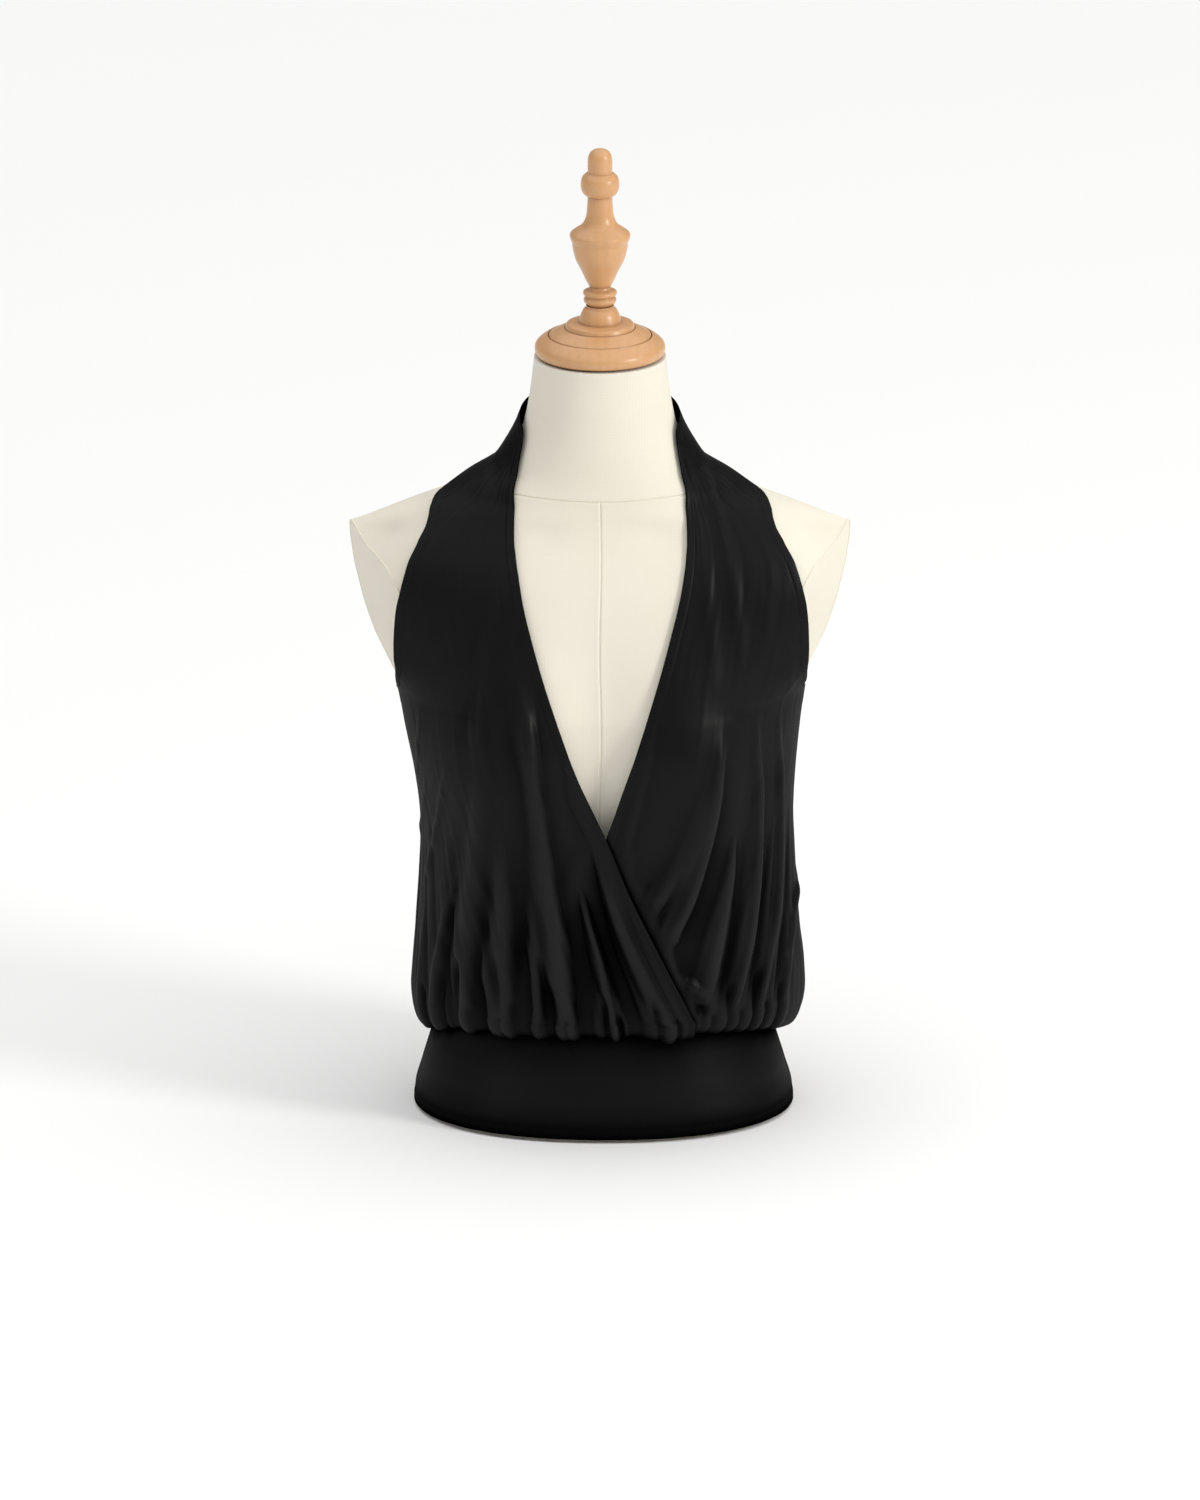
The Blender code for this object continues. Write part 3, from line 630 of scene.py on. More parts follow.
FRONT_STATIONS = np.array([
    # over_inner, under_inner, inner_height, over_outer, under_outer, outer_height
    (33.2, 31, 97, -90, -90, 94),
    (26.2, 23, 128, -90, -90, 124),
    (18.6, 15.5, 163.5, -90, -90, 160),
    (10.7, 7, 199, -90, -90, 196),
    (2.5, -2, 240, -90, -90, 232),
    (-7.5, -9.2, 284, -90, -90, 268),
    (-12.9, -14.2, 315, -90, -90, 298),
    (-18.8, -19.6, 346, -90, -90, 322),
    (-25, -25.6, 376, -74.5, -75.7, 340.5),
    (-31.3, -31.9, 404, -67.2, -68, 362),
    (-38.2, -39.1, 433, -66.4, -67, 388),
    (-46.1, -46.6, 458, -66.5, -67.2, 414),
    (-51.5, -51.7, 477, -69.3, -69.8, 448),
    (-60.8, -60.2, 503, -79.5, -80.1, 470.5),
    (-70.9, -70.5, 529, -90.5, -91.5, 478.3),
    (-92, -92, 540, -101, -101, 490),
    (-110, -110, 544, -114, -114, 505),
    (-128, -128, 546, -128, -128, 520),
])
UNDERARM_STATION = 7
BODY_ROWS, STRAP_ROWS = 116, 165
BODY_COLUMNS = 200
EDGE_CROWDING = 0.5
JERSEY = 1.1
CLEARANCE = 0.8
LAYER_LIFT = 0.9
SEAM_SIDE, SEAM_FRONT_RISE = 82, 8
DROOP_FRONT, DROOP_BACK, DROOP_SIDE, DROOP_SPREAD = 6, 9, 18, 10
LOOP_STEPS, LOOP_EASE = 26, 1.5
EDGE_SHIFT = 3
SEAM_ALLOWANCE = 0.5
BAND_CLOTH, BAND_CLEARANCE = 2.0, 1.1
BAND_FLARE, BAND_FLARE_BELOW = 0.2, 10
COVER_REACH, COVER_FADE, COVER_TOP = 12, 9, 400
TUCK, TUCK_START, TUCK_FADE = 0.85, 4, 9
OVERLAP_FILL = 2.4
EDGE_ROLL, EDGE_ROLL_IN, EDGE_ROLL_WIDTH = 2.6, 10, 6.5
EDGE_ROLL_TOP, EDGE_ROLL_FADE = 330, 50
SOFTENING = 0.6
SHOWN_START, SHOWN_FADE = 1, 6
NEST_REACH, NEST_FADE = 14, 8
SIDE_FADE = 5
HEM_WIDTH, HEM_GROOVE, HEM_STEP = 7.5, 0.15, 0.2
HEAD_FADE, FOOT_FADE = 0.3, 0.2
HOLLOW_COLUMNS, HOLLOW_DEEP = 39, 3.8
FOLD_DEPTH, CHEST_DEPTH = 1.45, 0.5
CHEST_FOOT, CHEST_FADE = 320, 50
SUBSTEPS = 4

# Folds and hollows of the two fronts, placed as seen from the front. Each has a path of x and
# height from its head to its foot, a half width, and how far it stands up (or sinks, where negative)
# at its head and at its foot
OVER_FOLDS = [
    # path, half_width, head_rise, foot_rise
    ([(-56, 400), (-55, 320), (-45, 250), (-37, 190), (-20, 56)], 5.4, 3.4, 3.8),
    ([(-63, 335), (-61, 240), (-59, 170), (-57, 56)], 4.8, -2.4, -4.2),
    ([(-48, 372), (-35, 290), (-27, 225), (-17, 160), (-3, 56)], 5.2, -4.2, -4),
    ([(-20, 225), (-10, 180), (0, 145), (6, 115), (14, 56)], 2.8, 3, 3.4),
    ([(-30, 280), (-10, 215), (5, 160), (20, 115), (38, 56)], 4.6, -4.4, -4.6),
    ([(-6, 250), (8, 195), (24, 150), (40, 110), (62, 56)], 5.4, 4, 3.4),
    ([(8, 215), (27, 165), (43, 125), (68, 60)], 2.4, -1.2, -1.4),
    ([(-88, 340), (-90, 260), (-93, 200), (-98, 150), (-99, 56)], 6, 1.6, 2.2),
    ([(-104, 250), (-107, 180), (-111, 130), (-107, 56)], 3.8, -1.6, -3),
    ([(-112, 300), (-117, 262), (-121, 225), (-128, 170)], 2.3, 1.1, 1),
    ([(-103, 235), (-107, 190), (-114, 150), (-119, 115), (-122, 70)], 2.4, 1.3, 1.8),
    ([(-124, 320), (-128, 270), (-131, 220), (-133, 175)], 2.4, 0.9, 0.9),
    ([(-126, 165), (-128, 130), (-133, 70)], 2.6, 0.9, 1.1),
    ([(-80, 230), (-84, 165), (-90, 120), (-90, 56)], 4.2, -1.6, -2.8),
    ([(-74, 260), (-71, 190), (-69, 140), (-64, 56)], 4.6, 1.6, 2.2),
    ([(-50, 200), (-48, 140), (-45, 56)], 3.2, 1.4, 1.8),
    ([(-43, 190), (-41, 130), (-39, 56)], 2.8, -1.4, -1.8),
    ([(-83, 165), (-82, 125), (-80, 56)], 3, 1.2, 1.6),
    ([(-101, 165), (-103, 125), (-104, 56)], 2.6, 1.4, 2.2),
    ([(14, 130), (22, 105), (33, 60)], 2.6, 1.2, 1.6),
    ([(-21, 190), (-14, 140), (-9, 56)], 3.6, -1.6, -2),
    ([(-70, 450), (-77, 415), (-86, 372), (-91, 328), (-92, 290)], 4.6, 1.8, 1.6),
    ([(-80, 460), (-86, 415), (-93, 375), (-98, 335)], 4.6, -1.3, -1.1),
    ([(-66, 440), (-69, 400), (-72, 355)], 3.2, -0.9, -0.8),
    ([(-63, 420), (-66, 385), (-67, 350)], 2.6, 0.8, 0.7),
    ([(-66, 525), (-74, 500), (-76, 470)], 3, -1.1, -0.8),
    ([(-76, 515), (-84, 492), (-90, 462)], 3, 0.8, 0.6),
    ([(-88, 512), (-96, 490)], 3, -0.6, -0.6),
    ([(-98, 470), (-103, 420), (-105, 370)], 6, 0.6, 0.5),
    ([(-122, 450), (-128, 410), (-128, 370)], 6, -0.6, -0.5),
    ([(-131, 340), (-134, 300), (-135, 255)], 2.4, 0.9, 0.8),
    ([(-124, 345), (-127, 300), (-128, 250)], 2.8, -0.9, -0.8),
]
UNDER_FOLDS = [
    ([(91, 335), (87, 280), (79, 235), (66, 193), (44, 145)], 3.4, 3.4, 3.8),
    ([(84, 290), (72, 240), (56, 207), (32, 180)], 6, 2.2, 2.8),
    ([(66, 360), (56, 300), (47, 250), (28, 195)], 6, -2.4, -3.8),
    ([(62, 335), (56, 295), (45, 255), (32, 225)], 3.6, 1.2, 1.2),
    ([(50, 345), (42, 290), (33, 255), (22, 220)], 3.6, -1.5, -1.7),
    ([(44, 345), (34, 295), (24, 250), (16, 215)], 4, 1, 1.1),
    ([(100, 330), (95, 265), (83, 205), (69, 160), (58, 110)], 5.6, -4, -5.4),
    ([(100, 260), (94, 205), (85, 155), (76, 100)], 4.2, 2.2, 3),
    ([(106, 320), (105, 250), (101, 190), (93, 135), (84, 86)], 3.6, -2.4, -2.8),
    ([(113, 345), (117, 265), (114, 205), (108, 150), (88, 70)], 2.9, 3.4, 3.4),
    ([(122, 330), (123, 250), (119, 185), (113, 130), (101, 76)], 3, -1.9, -2.3),
    ([(131, 340), (133, 255), (129, 185), (121, 125), (107, 66)], 2.7, 2.8, 2.8),
    ([(138, 315), (138, 235), (135, 170), (129, 115), (122, 70)], 2.8, -1.6, -1.8),
    ([(143, 250), (142, 185), (138, 140), (129, 72)], 2.6, 1.8, 2.2),
    ([(72, 190), (67, 150), (62, 116)], 6, -2.4, -3),
    ([(64, 222), (52, 192), (38, 165)], 2.8, -1.2, -1.4),
    ([(64, 520), (84, 485), (95, 450), (103, 405), (108, 350)], 3.4, 2.6, 1.8),
    ([(66, 515), (82, 475), (90, 440), (95, 395)], 3.4, -2, -1.6),
    ([(66, 500), (75, 462), (81, 420), (85, 370), (84, 335)], 3.6, 1.6, 1.6),
    ([(68, 440), (73, 400), (75, 355)], 4, -1.2, -1.2),
    ([(98, 505), (122, 475), (134, 445), (146, 405)], 3.6, -1.5, -1.1),
    ([(118, 430), (125, 400), (131, 365)], 3.4, 0.9, 0.8),
    ([(94, 492), (103, 462), (108, 440)], 3, 0.6, 0.5),
    ([(84, 512), (95, 492)], 2.4, 0.6, 0.5),
    ([(140, 395), (143, 365), (142, 335)], 3, 0.7, 0.7),
]

# Gathers pinched into the waist seam. Each is a hollow that opens upwards from the seam
OVER_GATHERS = [
    # x_at_seam, x_at_head, rise, half_width, depth
    (-127, -129, 20, 3.4, 2.2),
    (-117, -112, 42, 4.0, 3.4),
    (-105, -101, 58, 5.0, 4.6),
    (-94, -95, 17, 3.2, 2.4),
    (-83, -87, 40, 4.4, 4.0),
    (-72, -71, 15, 3.0, 2.4),
    (-62, -64, 28, 4.0, 3.6),
    (-52, -56, 72, 4.4, 4.4),
    (-44, -43, 13, 2.8, 2.2),
    (-35, -38, 46, 4.6, 3.6),
    (-24, -27, 19, 3.2, 2.6),
    (-12, -18, 32, 3.4, 3.6),
    (-3, -3, 12, 2.6, 2.2),
    (7, 2, 38, 3.4, 3.2),
    (16, 12, 20, 3.0, 3.0),
    (26, 17, 30, 3.4, 3.4),
    (36, 34, 13, 2.8, 2.2),
    (46, 35, 34, 3.4, 3.0),
    (58, 53, 15, 3.0, 2.2),
]
UNDER_GATHERS = [
    (77, 66, 24, 3.4, 3.6),
    (84, 80, 14, 3.0, 3.0),
    (94, 97, 40, 4.0, 3.6),
    (103, 104, 16, 3.0, 2.4),
    (112, 118, 46, 4.0, 3.4),
    (121, 124, 18, 3.2, 2.4),
    (130, 134, 30, 3.6, 2.6),
]
PINCH_SEAM, PINCH_PAST, PINCH_WIDTH = SEAM_SIDE + 4, 20, 0.6
SCALLOP = 0.55

# Small folds that swirl where the fronts cross above the seam, in the form of the folds above
SWIRL_FOLDS = [
    ([(46, 146), (60, 130), (72, 118), (80, 114)], 3, 2.4, 2.4),
    ([(54, 114), (62, 107), (72, 103), (80, 101)], 2.8, -3.4, -3.4),
    ([(54, 160), (56, 146), (61, 130)], 3, -2.6, -2.6),
    ([(62, 98), (72, 95), (80, 90)], 2.2, 2, 2),
]


def drape_radius(angle, height):
    """Distance from the axis to cloth that hangs free of the form."""
    angle = turned(angle)
    left, right, front, back, depth = section(DRAPE_SECTIONS, height)
    half_width = np.where(angle > 0, right, left)
    return oval(angle, half_width, front, back, 2) + depth * bust(angle, DRAPE_INNER, DRAPE_OUTER)


def rest_surface(angle, height):
    """The surface that the cloth settles on: the form, or the hanging cloth where that is wider."""
    ahead = ease((BUST_ROUNDING_END - np.abs(turned(angle))) / BUST_ROUNDING_FADE)
    rounding = DRAPE_ROUNDING + BUST_ROUNDING * ahead
    radius = larger(form_radius(angle, height), drape_radius(angle, height), rounding)
    return at_radius(radius, angle, height)


def lifted(angle, height, lift):
    """Points that stand off the rest surface by a lift measured square to it."""
    step = 0.5
    across = rest_surface(angle + step, height) - rest_surface(angle - step, height)
    upward = rest_surface(angle, height + step) - rest_surface(angle, height - step)
    normal = np.cross(across, upward)
    normal /= np.linalg.norm(normal, axis=-1, keepdims=True)
    return rest_surface(angle, height) + normal * lift[..., None]


def angle_seen(x, height):
    """The angle in the front half at which the rest surface has this x."""
    low = np.full(np.shape(x), -90.0)
    high = np.full(np.shape(x), 90.0)
    for _ in range(HALVINGS):
        middle = 0.5 * (low + high)
        too_far = rest_surface(middle, height)[..., 0] > x
        high = np.where(too_far, middle, high)
        low = np.where(too_far, low, middle)
    return 0.5 * (low + high)


def seam_height(angle):
    cosine = np.cos(np.radians(angle))
    return SEAM_SIDE + SEAM_FRONT_RISE * np.where(cosine > 0, cosine, 0) ** 2


def pinches(gathers):
    """Turn gathers into fold rows: a short path down to the seam and past it."""
    folds = []
    for x_seam, x_head, rise, half_width, depth in gathers:
        middle = (0.35 * x_head + 0.65 * x_seam, PINCH_SEAM + 0.45 * rise)
        path = [(x_head, PINCH_SEAM + rise), middle, (x_seam, PINCH_SEAM - PINCH_PAST)]
        folds.append((path, PINCH_WIDTH * half_width, -depth, -depth))
    return folds


def fold_relief(angle, height, folds):
    """How far the folds raise or sink the cloth, from the distance to each fold's path."""
    points = rest_surface(angle, height)
    relief = np.zeros(np.shape(angle))
    for path, half_width, head_rise, foot_rise in folds:
        x, level = np.array(path, dtype=float).T
        knots = np.arange(len(x))
        fine = np.linspace(0, len(x) - 1, (len(x) - 1) * SUBSTEPS + 1)
        x, level = smooth(knots, x, fine), smooth(knots, level, fine)
        route = rest_surface(angle_seen(x, level), level)
        reach = 3.5 * half_width
        low, high = route.min(axis=0) - reach, route.max(axis=0) + reach
        near = np.all((points > low) & (points < high), axis=-1)
        spots = points[near]
        lengths = np.linalg.norm(np.diff(route, axis=0), axis=1)
        starts = np.concatenate([[0], np.cumsum(lengths)])
        nearest = np.full(len(spots), np.inf)
        along = np.zeros(len(spots))
        for index, length in enumerate(lengths):
            way = (route[index + 1] - route[index]) / length
            offset = spots - route[index]
            run = np.clip(offset @ way, 0, length)
            aside = offset - run[:, None] * way
            distance = np.linalg.norm(aside, axis=-1)
            closer = distance < nearest
            nearest = np.where(closer, distance, nearest)
            along = np.where(closer, (starts[index] + run) / starts[-1], along)
        rise = head_rise + (foot_rise - head_rise) * along
        shown = ease(along / HEAD_FADE) * ease((1 - along) / FOOT_FADE)
        relief[near] += rise * shown * bell(nearest, half_width)
    chest = ease((height - CHEST_FOOT) / CHEST_FADE)
    return relief * (FOLD_DEPTH + (CHEST_DEPTH - FOLD_DEPTH) * chest)


def ripples(share, height, phase):
    """Slight uneven waves that run down a piece, fainter where it is stretched over the bust."""
    turn = share * np.pi
    looseness = 0.3 + 0.7 * ease((250 - height) / 110)
    lengthwise = height / 62
    waves = (
        0.42 * np.sin(27 * turn + 0.9 * lengthwise + phase)
        + 0.34 * np.sin(41 * turn - 0.7 * lengthwise + 2.1 * phase)
        + 0.26 * np.sin(19 * turn + 1.2 * lengthwise + 0.4)
        + 0.20 * np.sin(63 * turn + 1.1 * lengthwise + 1.1 * phase)
    )
    return waves * looseness


def puff(height):
    return BLOUSE_PUFF * ease((BLOUSE_TOP - height) / BLOUSE_FADE)


def inner_edge(side, height):
    """Angle of a front's neckline edge at a height. side is -1 for the over front, 1 for the under one."""
    angles = FRONT_STATIONS[:, 0] if side < 0 else -FRONT_STATIONS[:, 1]
    return smooth(FRONT_STATIONS[:, 2], angles, height)


def front_base(angle, height):
    """What both fronts share: the puff of the blouse and the bridge from neck to shoulder."""
    bridge = bell(height - BRIDGE_HEIGHT, BRIDGE_SPREAD) * bell(np.abs(angle) - BRIDGE_ANGLE, BRIDGE_WIDTH)
    return puff(height) + BRIDGE * bridge


def under_lift(angle, height):
    """How far the under front stands off the rest surface. It lies flat where the other covers it."""
    shown = ease((angle - inner_edge(-1, height) - SHOWN_START) / SHOWN_FADE)
    relief = fold_relief(angle, height, UNDER_FOLDS + SWIRL_FOLDS + pinches(UNDER_GATHERS))
    share = (90 - angle) / (90 - inner_edge(1, height))
    relief = relief + ripples(share, height, 0.6)
    side = ease((90 - angle) / SIDE_FADE)
    tucked = 1 - TUCK * ease((inner_edge(-1, height) - TUCK_START - angle) / TUCK_FADE)
    return CLEARANCE + soft_floor(front_base(angle, height) * tucked + relief * shown * side)


def soft_floor(value):
    """Cloth can't sink into what it lies on."""
    return larger(value, 0, SOFTENING)


def over_lift(angle, height):
    """How far the over front stands off the rest surface, clear of the under front."""
    share = (angle + 90) / (inner_edge(-1, height) + 90)
    relief = fold_relief(angle, height, OVER_FOLDS + pinches(OVER_GATHERS)) + ripples(share, height, 2.3)
    radius = np.linalg.norm(rest_surface(angle, height)[..., :2], axis=-1)
    from_edge = np.radians(inner_edge(-1, height) - angle) * radius
    roll = EDGE_ROLL * bell(from_edge - EDGE_ROLL_IN, EDGE_ROLL_WIDTH)
    relief = relief + roll * ease((EDGE_ROLL_TOP - height) / EDGE_ROLL_FADE)
    side = ease((90 + angle) / SIDE_FADE)
    covers = ease((angle - inner_edge(1, height) + COVER_REACH) / COVER_FADE) * (height < COVER_TOP)
    fill = OVERLAP_FILL * covers * puff(height) / BLOUSE_PUFF
    own = soft_floor(front_base(angle, height) + fill + relief * side)
    below = under_lift(angle, height) - CLEARANCE + JERSEY + LAYER_LIFT
    return CLEARANCE + larger(own, covers * below, SOFTENING)


def droop(angle):
    """How far the blouse hangs below its seam."""
    middle = np.where(np.cos(np.radians(angle)) > 0, DROOP_FRONT, DROOP_BACK)
    return middle + (DROOP_SIDE - middle) * np.abs(np.sin(np.radians(angle))) ** DROOP_SPREAD


def band_inner(angle, height):
    flare = BAND_FLARE * np.maximum(BAND_FLARE_BELOW - height, 0)
    return form_radius(angle, np.maximum(height, BAND_FLARE_BELOW)) + flare + BAND_CLEARANCE


def loop_rows(angles_at, foot, nested, wave):
    """Rows from the seam, down, out and up to the blouse's foot. A covered loop lies inside the other."""
    rows = []
    for t in np.arange(LOOP_STEPS) / LOOP_STEPS:
        angle = angles_at(t)
        seam = seam_height(angle)
        depth = droop(angle) + LOOP_EASE - nested * (JERSEY + LAYER_LIFT) + wave * ease(t / 0.3)
        height = seam + (foot[:, 2] - seam) * t ** 3 - 4 * depth * t * (1 - t)
        leg = band_inner(angle, height) + BAND_CLOTH + SEAM_ALLOWANCE + JERSEY
        leg = leg + nested * (JERSEY + LAYER_LIFT)
        reach = np.hypot(foot[:, 0], foot[:, 1])
        rows.append(at_radius(leg + (reach - leg) * ease(t), angle, height))
    return rows


def crowded(columns):
    """Shares from 0 to 1 that lie closer together at both ends."""
    even = np.linspace(0, 1, columns + 1)
    return even - EDGE_CROWDING * np.sin(2 * np.pi * even) / (2 * np.pi)


def hem_relief(points, outer):
    """A narrow turned hem along the neckline edge, and along the outer edge above the underarm."""
    steps = np.linalg.norm(np.diff(points, axis=0), axis=-1)
    from_inner = np.concatenate([[0], np.cumsum(steps)])
    relief = hem_profile(from_inner)
    if outer:
        relief = relief + hem_profile(from_inner[-1] - from_inner)
    return relief


def hem_profile(away):
    return HEM_STEP * ease((HEM_WIDTH - away) / 1.2) - HEM_GROOVE * bell(away - HEM_WIDTH, 0.7)


def hollows(lift):
    """How far a row of cloth stands above (to 1) or lies below (to -1) the cloth on both sides of it."""
    weights = np.hanning(HOLLOW_COLUMNS + 2)[1:-1]
    padded = np.pad(lift, HOLLOW_COLUMNS // 2, mode="edge")
    around = np.convolve(padded, weights / weights.sum(), mode="valid")
    return np.clip((lift - around) / HOLLOW_DEEP, -1, 1)


def front_rows(side, lift):
    """Rows of points on a front's inner face, from its seam to behind the neck, and their hollows."""
    numbers = np.arange(len(FRONT_STATIONS))
    body = np.linspace(0, UNDERARM_STATION, BODY_ROWS)
    strap = np.linspace(UNDERARM_STATION, numbers[-1], STRAP_ROWS + 1)[1:]
    grid = []
    for station in np.concatenate([body, strap]):
        columns = BODY_COLUMNS if station <= UNDERARM_STATION else BODY_COLUMNS // 2
        share = crowded(columns)
        over_start, under_start, start_height, over_end, under_end, end_height = (
            smooth(numbers, values, station) for values in FRONT_STATIONS.T
        )
        start_angle, end_angle = (over_start, over_end) if side < 0 else (under_start, under_end)
        angle = -side * (start_angle + share * (end_angle - start_angle))
        height = start_height + share * (end_height - start_height)
        flat = rest_surface(angle, height)
        grid.append((angle, height, hem_relief(flat, station > UNDERARM_STATION - 0.4)))
    sizes = [len(angle) for angle, _, _ in grid]
    angle, height, hem = (np.concatenate(parts) for parts in zip(*grid))
    lifts = lift(angle, height)
    points = lifted(angle, height, lifts + hem)
    rows = np.split(points, np.cumsum(sizes)[:-1])
    low = [hollows(row) for row in np.split(lifts, np.cumsum(sizes)[:-1])]
    share = crowded(BODY_COLUMNS)
    over_foot, under_foot = FRONT_STATIONS[0, 0], FRONT_STATIONS[0, 1]
    inner_foot, outer_foot = over_foot if side < 0 else under_foot, FRONT_STATIONS[0, 3]
    foot_angle = -side * (inner_foot + share * (outer_foot - inner_foot))
    relief = lift(foot_angle, rows[0][:, 2])
    covered = ease((over_foot + NEST_REACH - foot_angle) / NEST_FADE) if side > 0 else 0
    wave = SCALLOP * (relief - CLEARANCE - BLOUSE_PUFF) * (1 - covered)
    shift = side * EDGE_SHIFT * (1 - share)
    loop = loop_rows(lambda t: foot_angle - shift * (1 - t), rows[0], covered, wave)
    low = [low[0]] * len(loop) + low
    return [row[::side] for row in loop + rows], np.concatenate([row[::side] for row in low])


def cut_map(rows):
    """Where each point lies on the flat cloth, in metres: across and along the piece."""
    flat = []
    along = 0
    before = None
    for row in rows:
        middle = row[len(row) // 2]
        if before is not None:
            along += np.linalg.norm(middle - before)
        before = middle
        steps = np.concatenate([[0], np.cumsum(np.linalg.norm(np.diff(row, axis=0), axis=-1))])
        flat.append(np.stack([steps - steps[-1] / 2, np.full(len(row), along)], axis=-1) * MM)
    return np.concatenate(flat)


def cloth_piece(name, rows, thickness, finish_made, node, hollow=None):
    """Join rows of points into one sheet and give it thickness outwards."""
    starts = np.concatenate([[0], np.cumsum([len(row) for row in rows])])
    quads = []
    for index in range(len(rows) - 1):
        lower, upper = starts[index], starts[index + 1]
        ratio = (len(rows[index]) - 1) // (len(rows[index + 1]) - 1)
        for column in range(len(rows[index + 1]) - 1):
            below = range(lower + column * ratio, lower + (column + 1) * ratio + 1)
            quads.append((*below, upper + column + 1, upper + column))
    piece = mesh_object(name, np.concatenate(rows), quads, cut_map(rows), hollow)
    wall = piece.modifiers.new("wall", "SOLIDIFY")
    wall.thickness = thickness * MM
    wall.offset = 1
    apply_modifiers(piece)
    piece.data.materials.clear()
    piece.data.materials.append(finish_made)
    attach(piece, "root")
    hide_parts(node)
    return piece


# How far painted shade darkens the cloth, from where it lies lowest between its folds (0) to where it lies
# highest (1)
HOLLOW_SHADE_STOPS = [(0, (0.14, 0.14, 0.14, 1)), (0.5, (0.62, 0.62, 0.62, 1)), (1, (1, 1, 1, 1))]
JERSEY_TONE = (0.0085, 0.0085, 0.0088)
WALES = 1150.0


def jersey_finish(name, tone, wales):
    """Black single jersey: rows of tiny V stitches, matt, with painted shade that darkens it and takes away
    its coat in sheltered places and where the cloth lies low between its folds.
    """
    made, flow, shader = finish(
        name, Roughness=0.8, Specular_IOR_Level=0.0, Coat_Roughness=0.39, Coat_IOR=1.5,
    )
    cut = flow.node("UVMap", uv_map="cut")
    across = flow.node("SeparateXYZ", {0: cut}, output=0) * wales
    along = flow.node("SeparateXYZ", {0: cut}, output=1) * (1.35 * wales)
    column = across.sum("FRACT", across)
    from_middle = column.sum("ABSOLUTE", column - 0.5)
    stitch = (along + from_middle * 0.9).sum("FRACT", along + from_middle * 0.9)
    leg = stitch.sum("PINGPONG", stitch, 0.5) * 2
    loft = leg * 0.6 + (0.5 - from_middle) * 0.9
    fuzz = flow.node("TexNoise", {"Vector": cut, "Scale": 1900.0, "Detail": 2.0})
    wear = flow.node("TexNoise", {"Vector": cut, "Scale": 14.0, "Detail": 4.0, "Roughness": 0.6})
    # Painted shade: ambient occlusion darkens the cloth where nearby cloth or the form shelters it.
    depth = flow.node("AmbientOcclusion", {"Distance": 0.035}, output="AO", samples=8)
    painted_shade_mask = flow.node("ValToRGB", {0: depth}, stops=[(0.66, (0, 0, 0, 1)), (1.0, (1, 1, 1, 1))])
    # Painted shade: cloth that lies lower than the cloth beside it, as stored in the hollow attribute, is
    # darkened further.
    level = flow.node("Attribute", attribute_name="hollow", output="Fac") * 0.5 + 0.5
    hollow_shade = flow.node("ValToRGB", {0: level}, stops=HOLLOW_SHADE_STOPS)
    light = tuple(1.35 * value for value in tone) + (1,)
    dark = tuple(0.8 * value for value in tone) + (1,)
    painted_shade_colour = tuple(0.1 * value for value in tone) + (1,)
    worn = (wear * 0.6 + loft * 0.2 + fuzz * 0.15).mix(dark, light)
    painted_shade_mask = painted_shade_mask * hollow_shade
    # Painted shade: the colour falls towards a tenth of the cloth's tone where it is shaded, and the coat
    # weight falls with it.
    connect(shader, "Base Color", painted_shade_mask.mix(painted_shade_colour, worn))
    connect(shader, "Coat Weight", painted_shade_mask * 0.3)
    stitches = {"Height": loft + fuzz * 0.4, "Strength": 0.2, "Distance": 0.00012}
    connect(shader, "Normal", flow.node("Bump", stitches))
    return made


jersey = jersey_finish("black jersey", JERSEY_TONE, WALES)
rows, low = front_rows(1, under_lift)
front_under = cloth_piece("front_under_cloth", rows, JERSEY, jersey, "front_under", low)
rows, low = front_rows(-1, over_lift)
front_over = cloth_piece("front_over_cloth", rows, JERSEY, jersey, "front_over", low)

# Back. One piece from side seam to side seam, cut straight across below the shoulder blades with a
# narrow hem, gathered into the back waistband and blousing over it as the fronts do.
BACK_START, BACK_END = 90.04, 269.96
BACK_TOP_SIDE, BACK_TOP_MIDDLE = 322, 300
BACK_COLUMNS, BACK_ROWS = 220, 96
BACK_FOOT_HEIGHT = 94
BACK_GATHERS = 27
BACK_FOLDS = 9


def back_relief(angle, height):
    """Gathers at the seam, and long soft folds above them that fade towards the shoulder blades."""
    turn = np.radians(angle)
    rise = height - seam_height(angle)
    wander = 0.9 * np.sin(3 * turn + 0.7) + 0.6 * np.sin(7 * turn + 1.2)
    strength = 0.65 + 0.35 * np.sin(5 * turn + 1.9)
    wave = np.sin(BACK_GATHERS * turn + wander)
    pinched = -3.2 * strength * np.abs(0.5 - 0.5 * wave) ** 1.6
    reach = 24 + 16 * np.sin(11 * turn + 0.4)
    gather = pinched * ease(1 - rise / reach)
    fold = 2.4 * np.sin(BACK_FOLDS * turn + 1.3 * np.sin(2 * turn) + height / 120)
    fold = fold * ease((260 - height) / 120) * (0.6 + 0.4 * np.sin(4 * turn))
    return gather + fold + ripples(angle / 180, height, 4.1)


def back_lift(angle, height):
    side = ease(np.minimum(angle - BACK_START, BACK_END - angle) / SIDE_FADE)
    return CLEARANCE + soft_floor(puff(height) + back_relief(angle, height) * side)


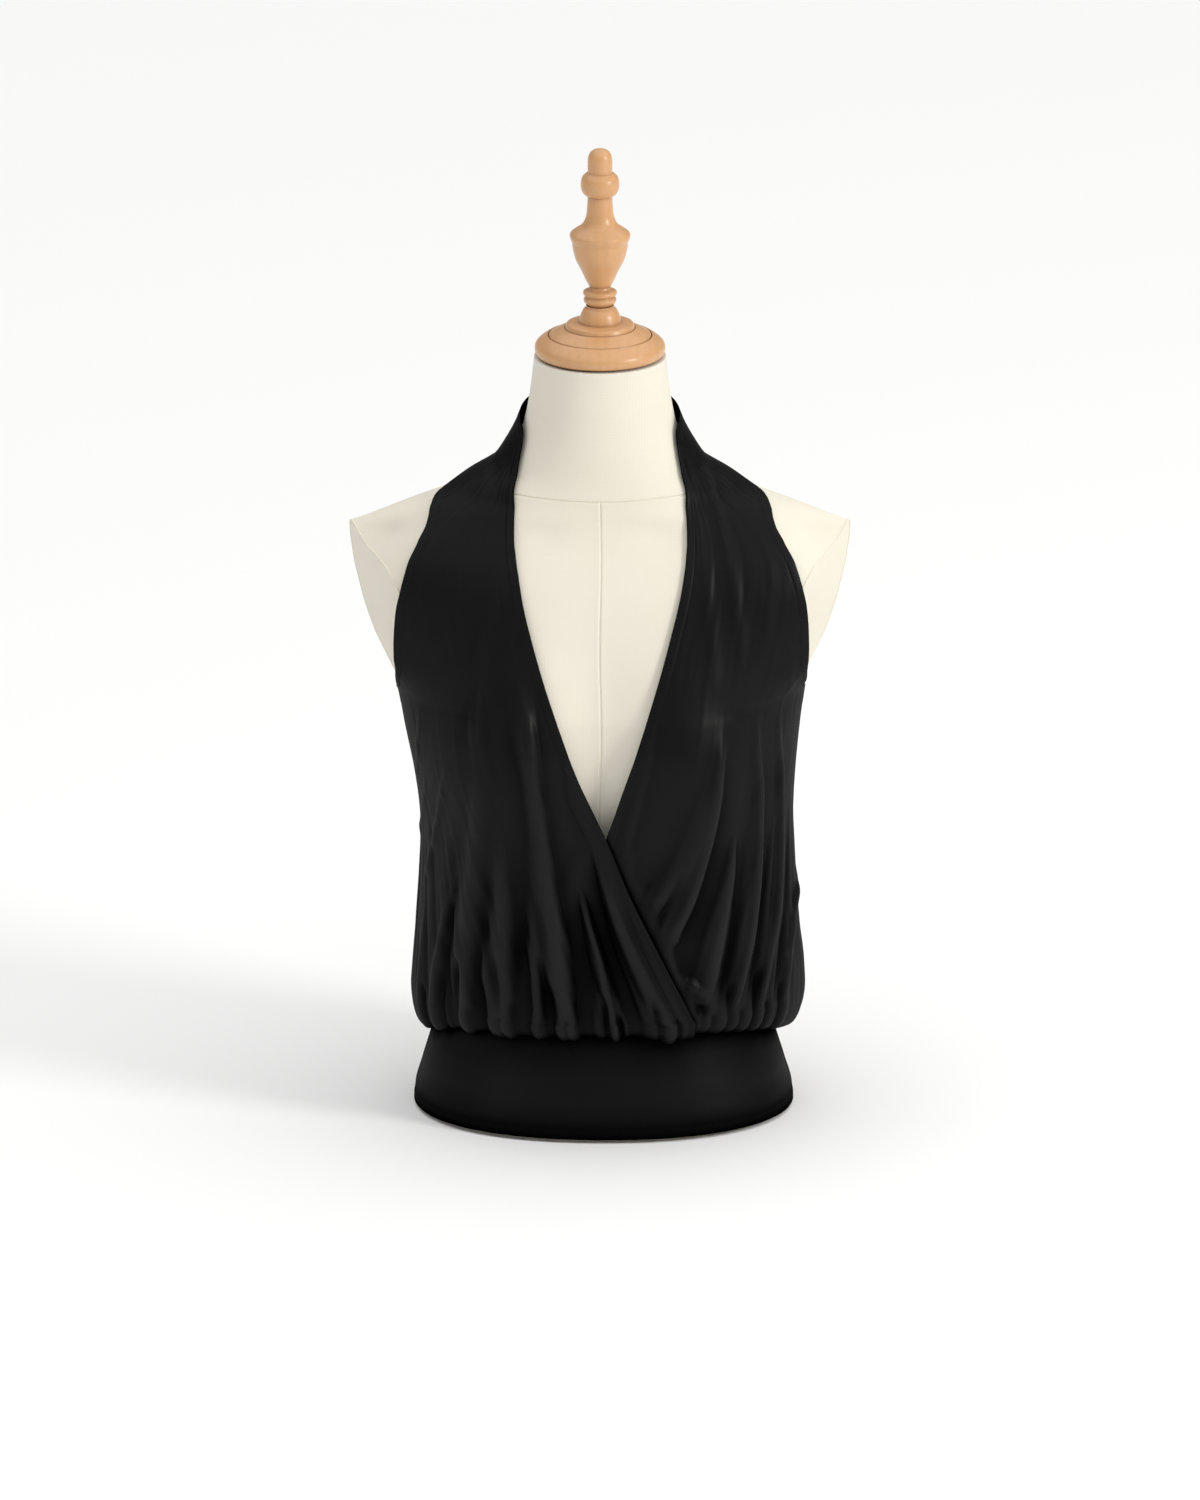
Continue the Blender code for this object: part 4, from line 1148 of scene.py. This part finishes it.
back_angle = np.linspace(BACK_START, BACK_END, BACK_COLUMNS + 1)
middle = np.cos(np.radians(back_angle)) ** 2
back_top = BACK_TOP_SIDE + (BACK_TOP_MIDDLE - BACK_TOP_SIDE) * ease(middle)
back_rows, low = [], []
for share in np.linspace(0, 1, BACK_ROWS):
    height = BACK_FOOT_HEIGHT + share * (back_top - BACK_FOOT_HEIGHT)
    hem = hem_profile(back_top - height)
    lift = back_lift(back_angle, height)
    back_rows.append(lifted(back_angle, height, lift + hem))
    low.append(hollows(lift))
scallop = SCALLOP * (back_lift(back_angle, back_rows[0][:, 2]) - CLEARANCE - BLOUSE_PUFF)
back_rows = loop_rows(lambda t: back_angle, back_rows[0], 0, scallop) + back_rows
low = np.concatenate([low[0]] * LOOP_STEPS + low)
back_cloth = cloth_piece("back_cloth", back_rows, JERSEY, jersey, "back_panel", low)

# Waistband. Two curved pieces of doubled jersey, front and back, joined at the side seams. They are
# smooth and close over the hip, with a folded lower edge that flares slightly off the form.
BAND_HEM = 3
BAND_COLUMNS, BAND_ROWS = 150, 60
FRONT_BAND_END = 89.96
BAND_TONE = (0.007, 0.007, 0.0072)
BAND_ROLL = 0.5


def band_rows(start, end, low, high, columns, steps, inner, relief):
    """Rows of points on a band's inner face, from its lower edge up."""
    angle = np.linspace(start, end, columns + 1)
    rows = []
    for share in np.linspace(0, 1, steps + 1):
        height = low + share * (high(angle) - low)
        rows.append(at_radius(inner(angle, height) + relief(angle, height), angle, height))
    return rows


def band_relief(angle, height):
    """The band's soft folded edge, and faint tension lines where the gathers pull on it."""
    turn = np.radians(angle)
    edge = -BAND_ROLL * bell(height - BAND_HEM, 1.2)
    pull = 0.22 * np.sin(34 * turn + np.sin(5 * turn)) * ease((height - 40) / 40)
    seam = -0.4 * bell(np.abs(np.abs(turned(angle)) - 90), 0.7)
    return edge + np.maximum(pull + 0.1, 0) + seam


band_jersey = jersey_finish("black band jersey", BAND_TONE, WALES)
for name, start, end, node in (
    ("waistband_front_cloth", -FRONT_BAND_END, FRONT_BAND_END, "waistband_front"),
    ("waistband_back_cloth", BACK_START, BACK_END, "waistband_back"),
):
    rows = band_rows(start, end, BAND_HEM, seam_height, BAND_COLUMNS, BAND_ROWS, band_inner, band_relief)
    band = cloth_piece(name, rows, BAND_CLOTH, band_jersey, node)

# Nape piece. A short straight strip of doubled jersey that joins the two halter straps behind the
# neck, sewn to each strap's end.
NAPE_START, NAPE_END = 128.35, 231.65
NAPE_LOW, NAPE_HIGH = 520, 546
NAPE_COLUMNS, NAPE_ROWS = 80, 24


def nape_inner(angle, height):
    return form_radius(angle, height) + CLEARANCE


def nape_top(angle):
    return np.full(angle.shape, NAPE_HIGH)


def nape_relief(angle, height):
    middle = 0.5 * (NAPE_LOW + NAPE_HIGH)
    crown = 0.3 * (1 - ((height - middle) / (NAPE_HIGH - middle)) ** 4)
    return np.maximum(crown, 0) + 0.15 * np.sin(np.radians(angle) * 40) ** 2


rows = band_rows(NAPE_START, NAPE_END, NAPE_LOW, nape_top, NAPE_COLUMNS, NAPE_ROWS, nape_inner, nape_relief)
nape = cloth_piece("nape_cloth", rows, BAND_CLOTH, band_jersey, "neckband")
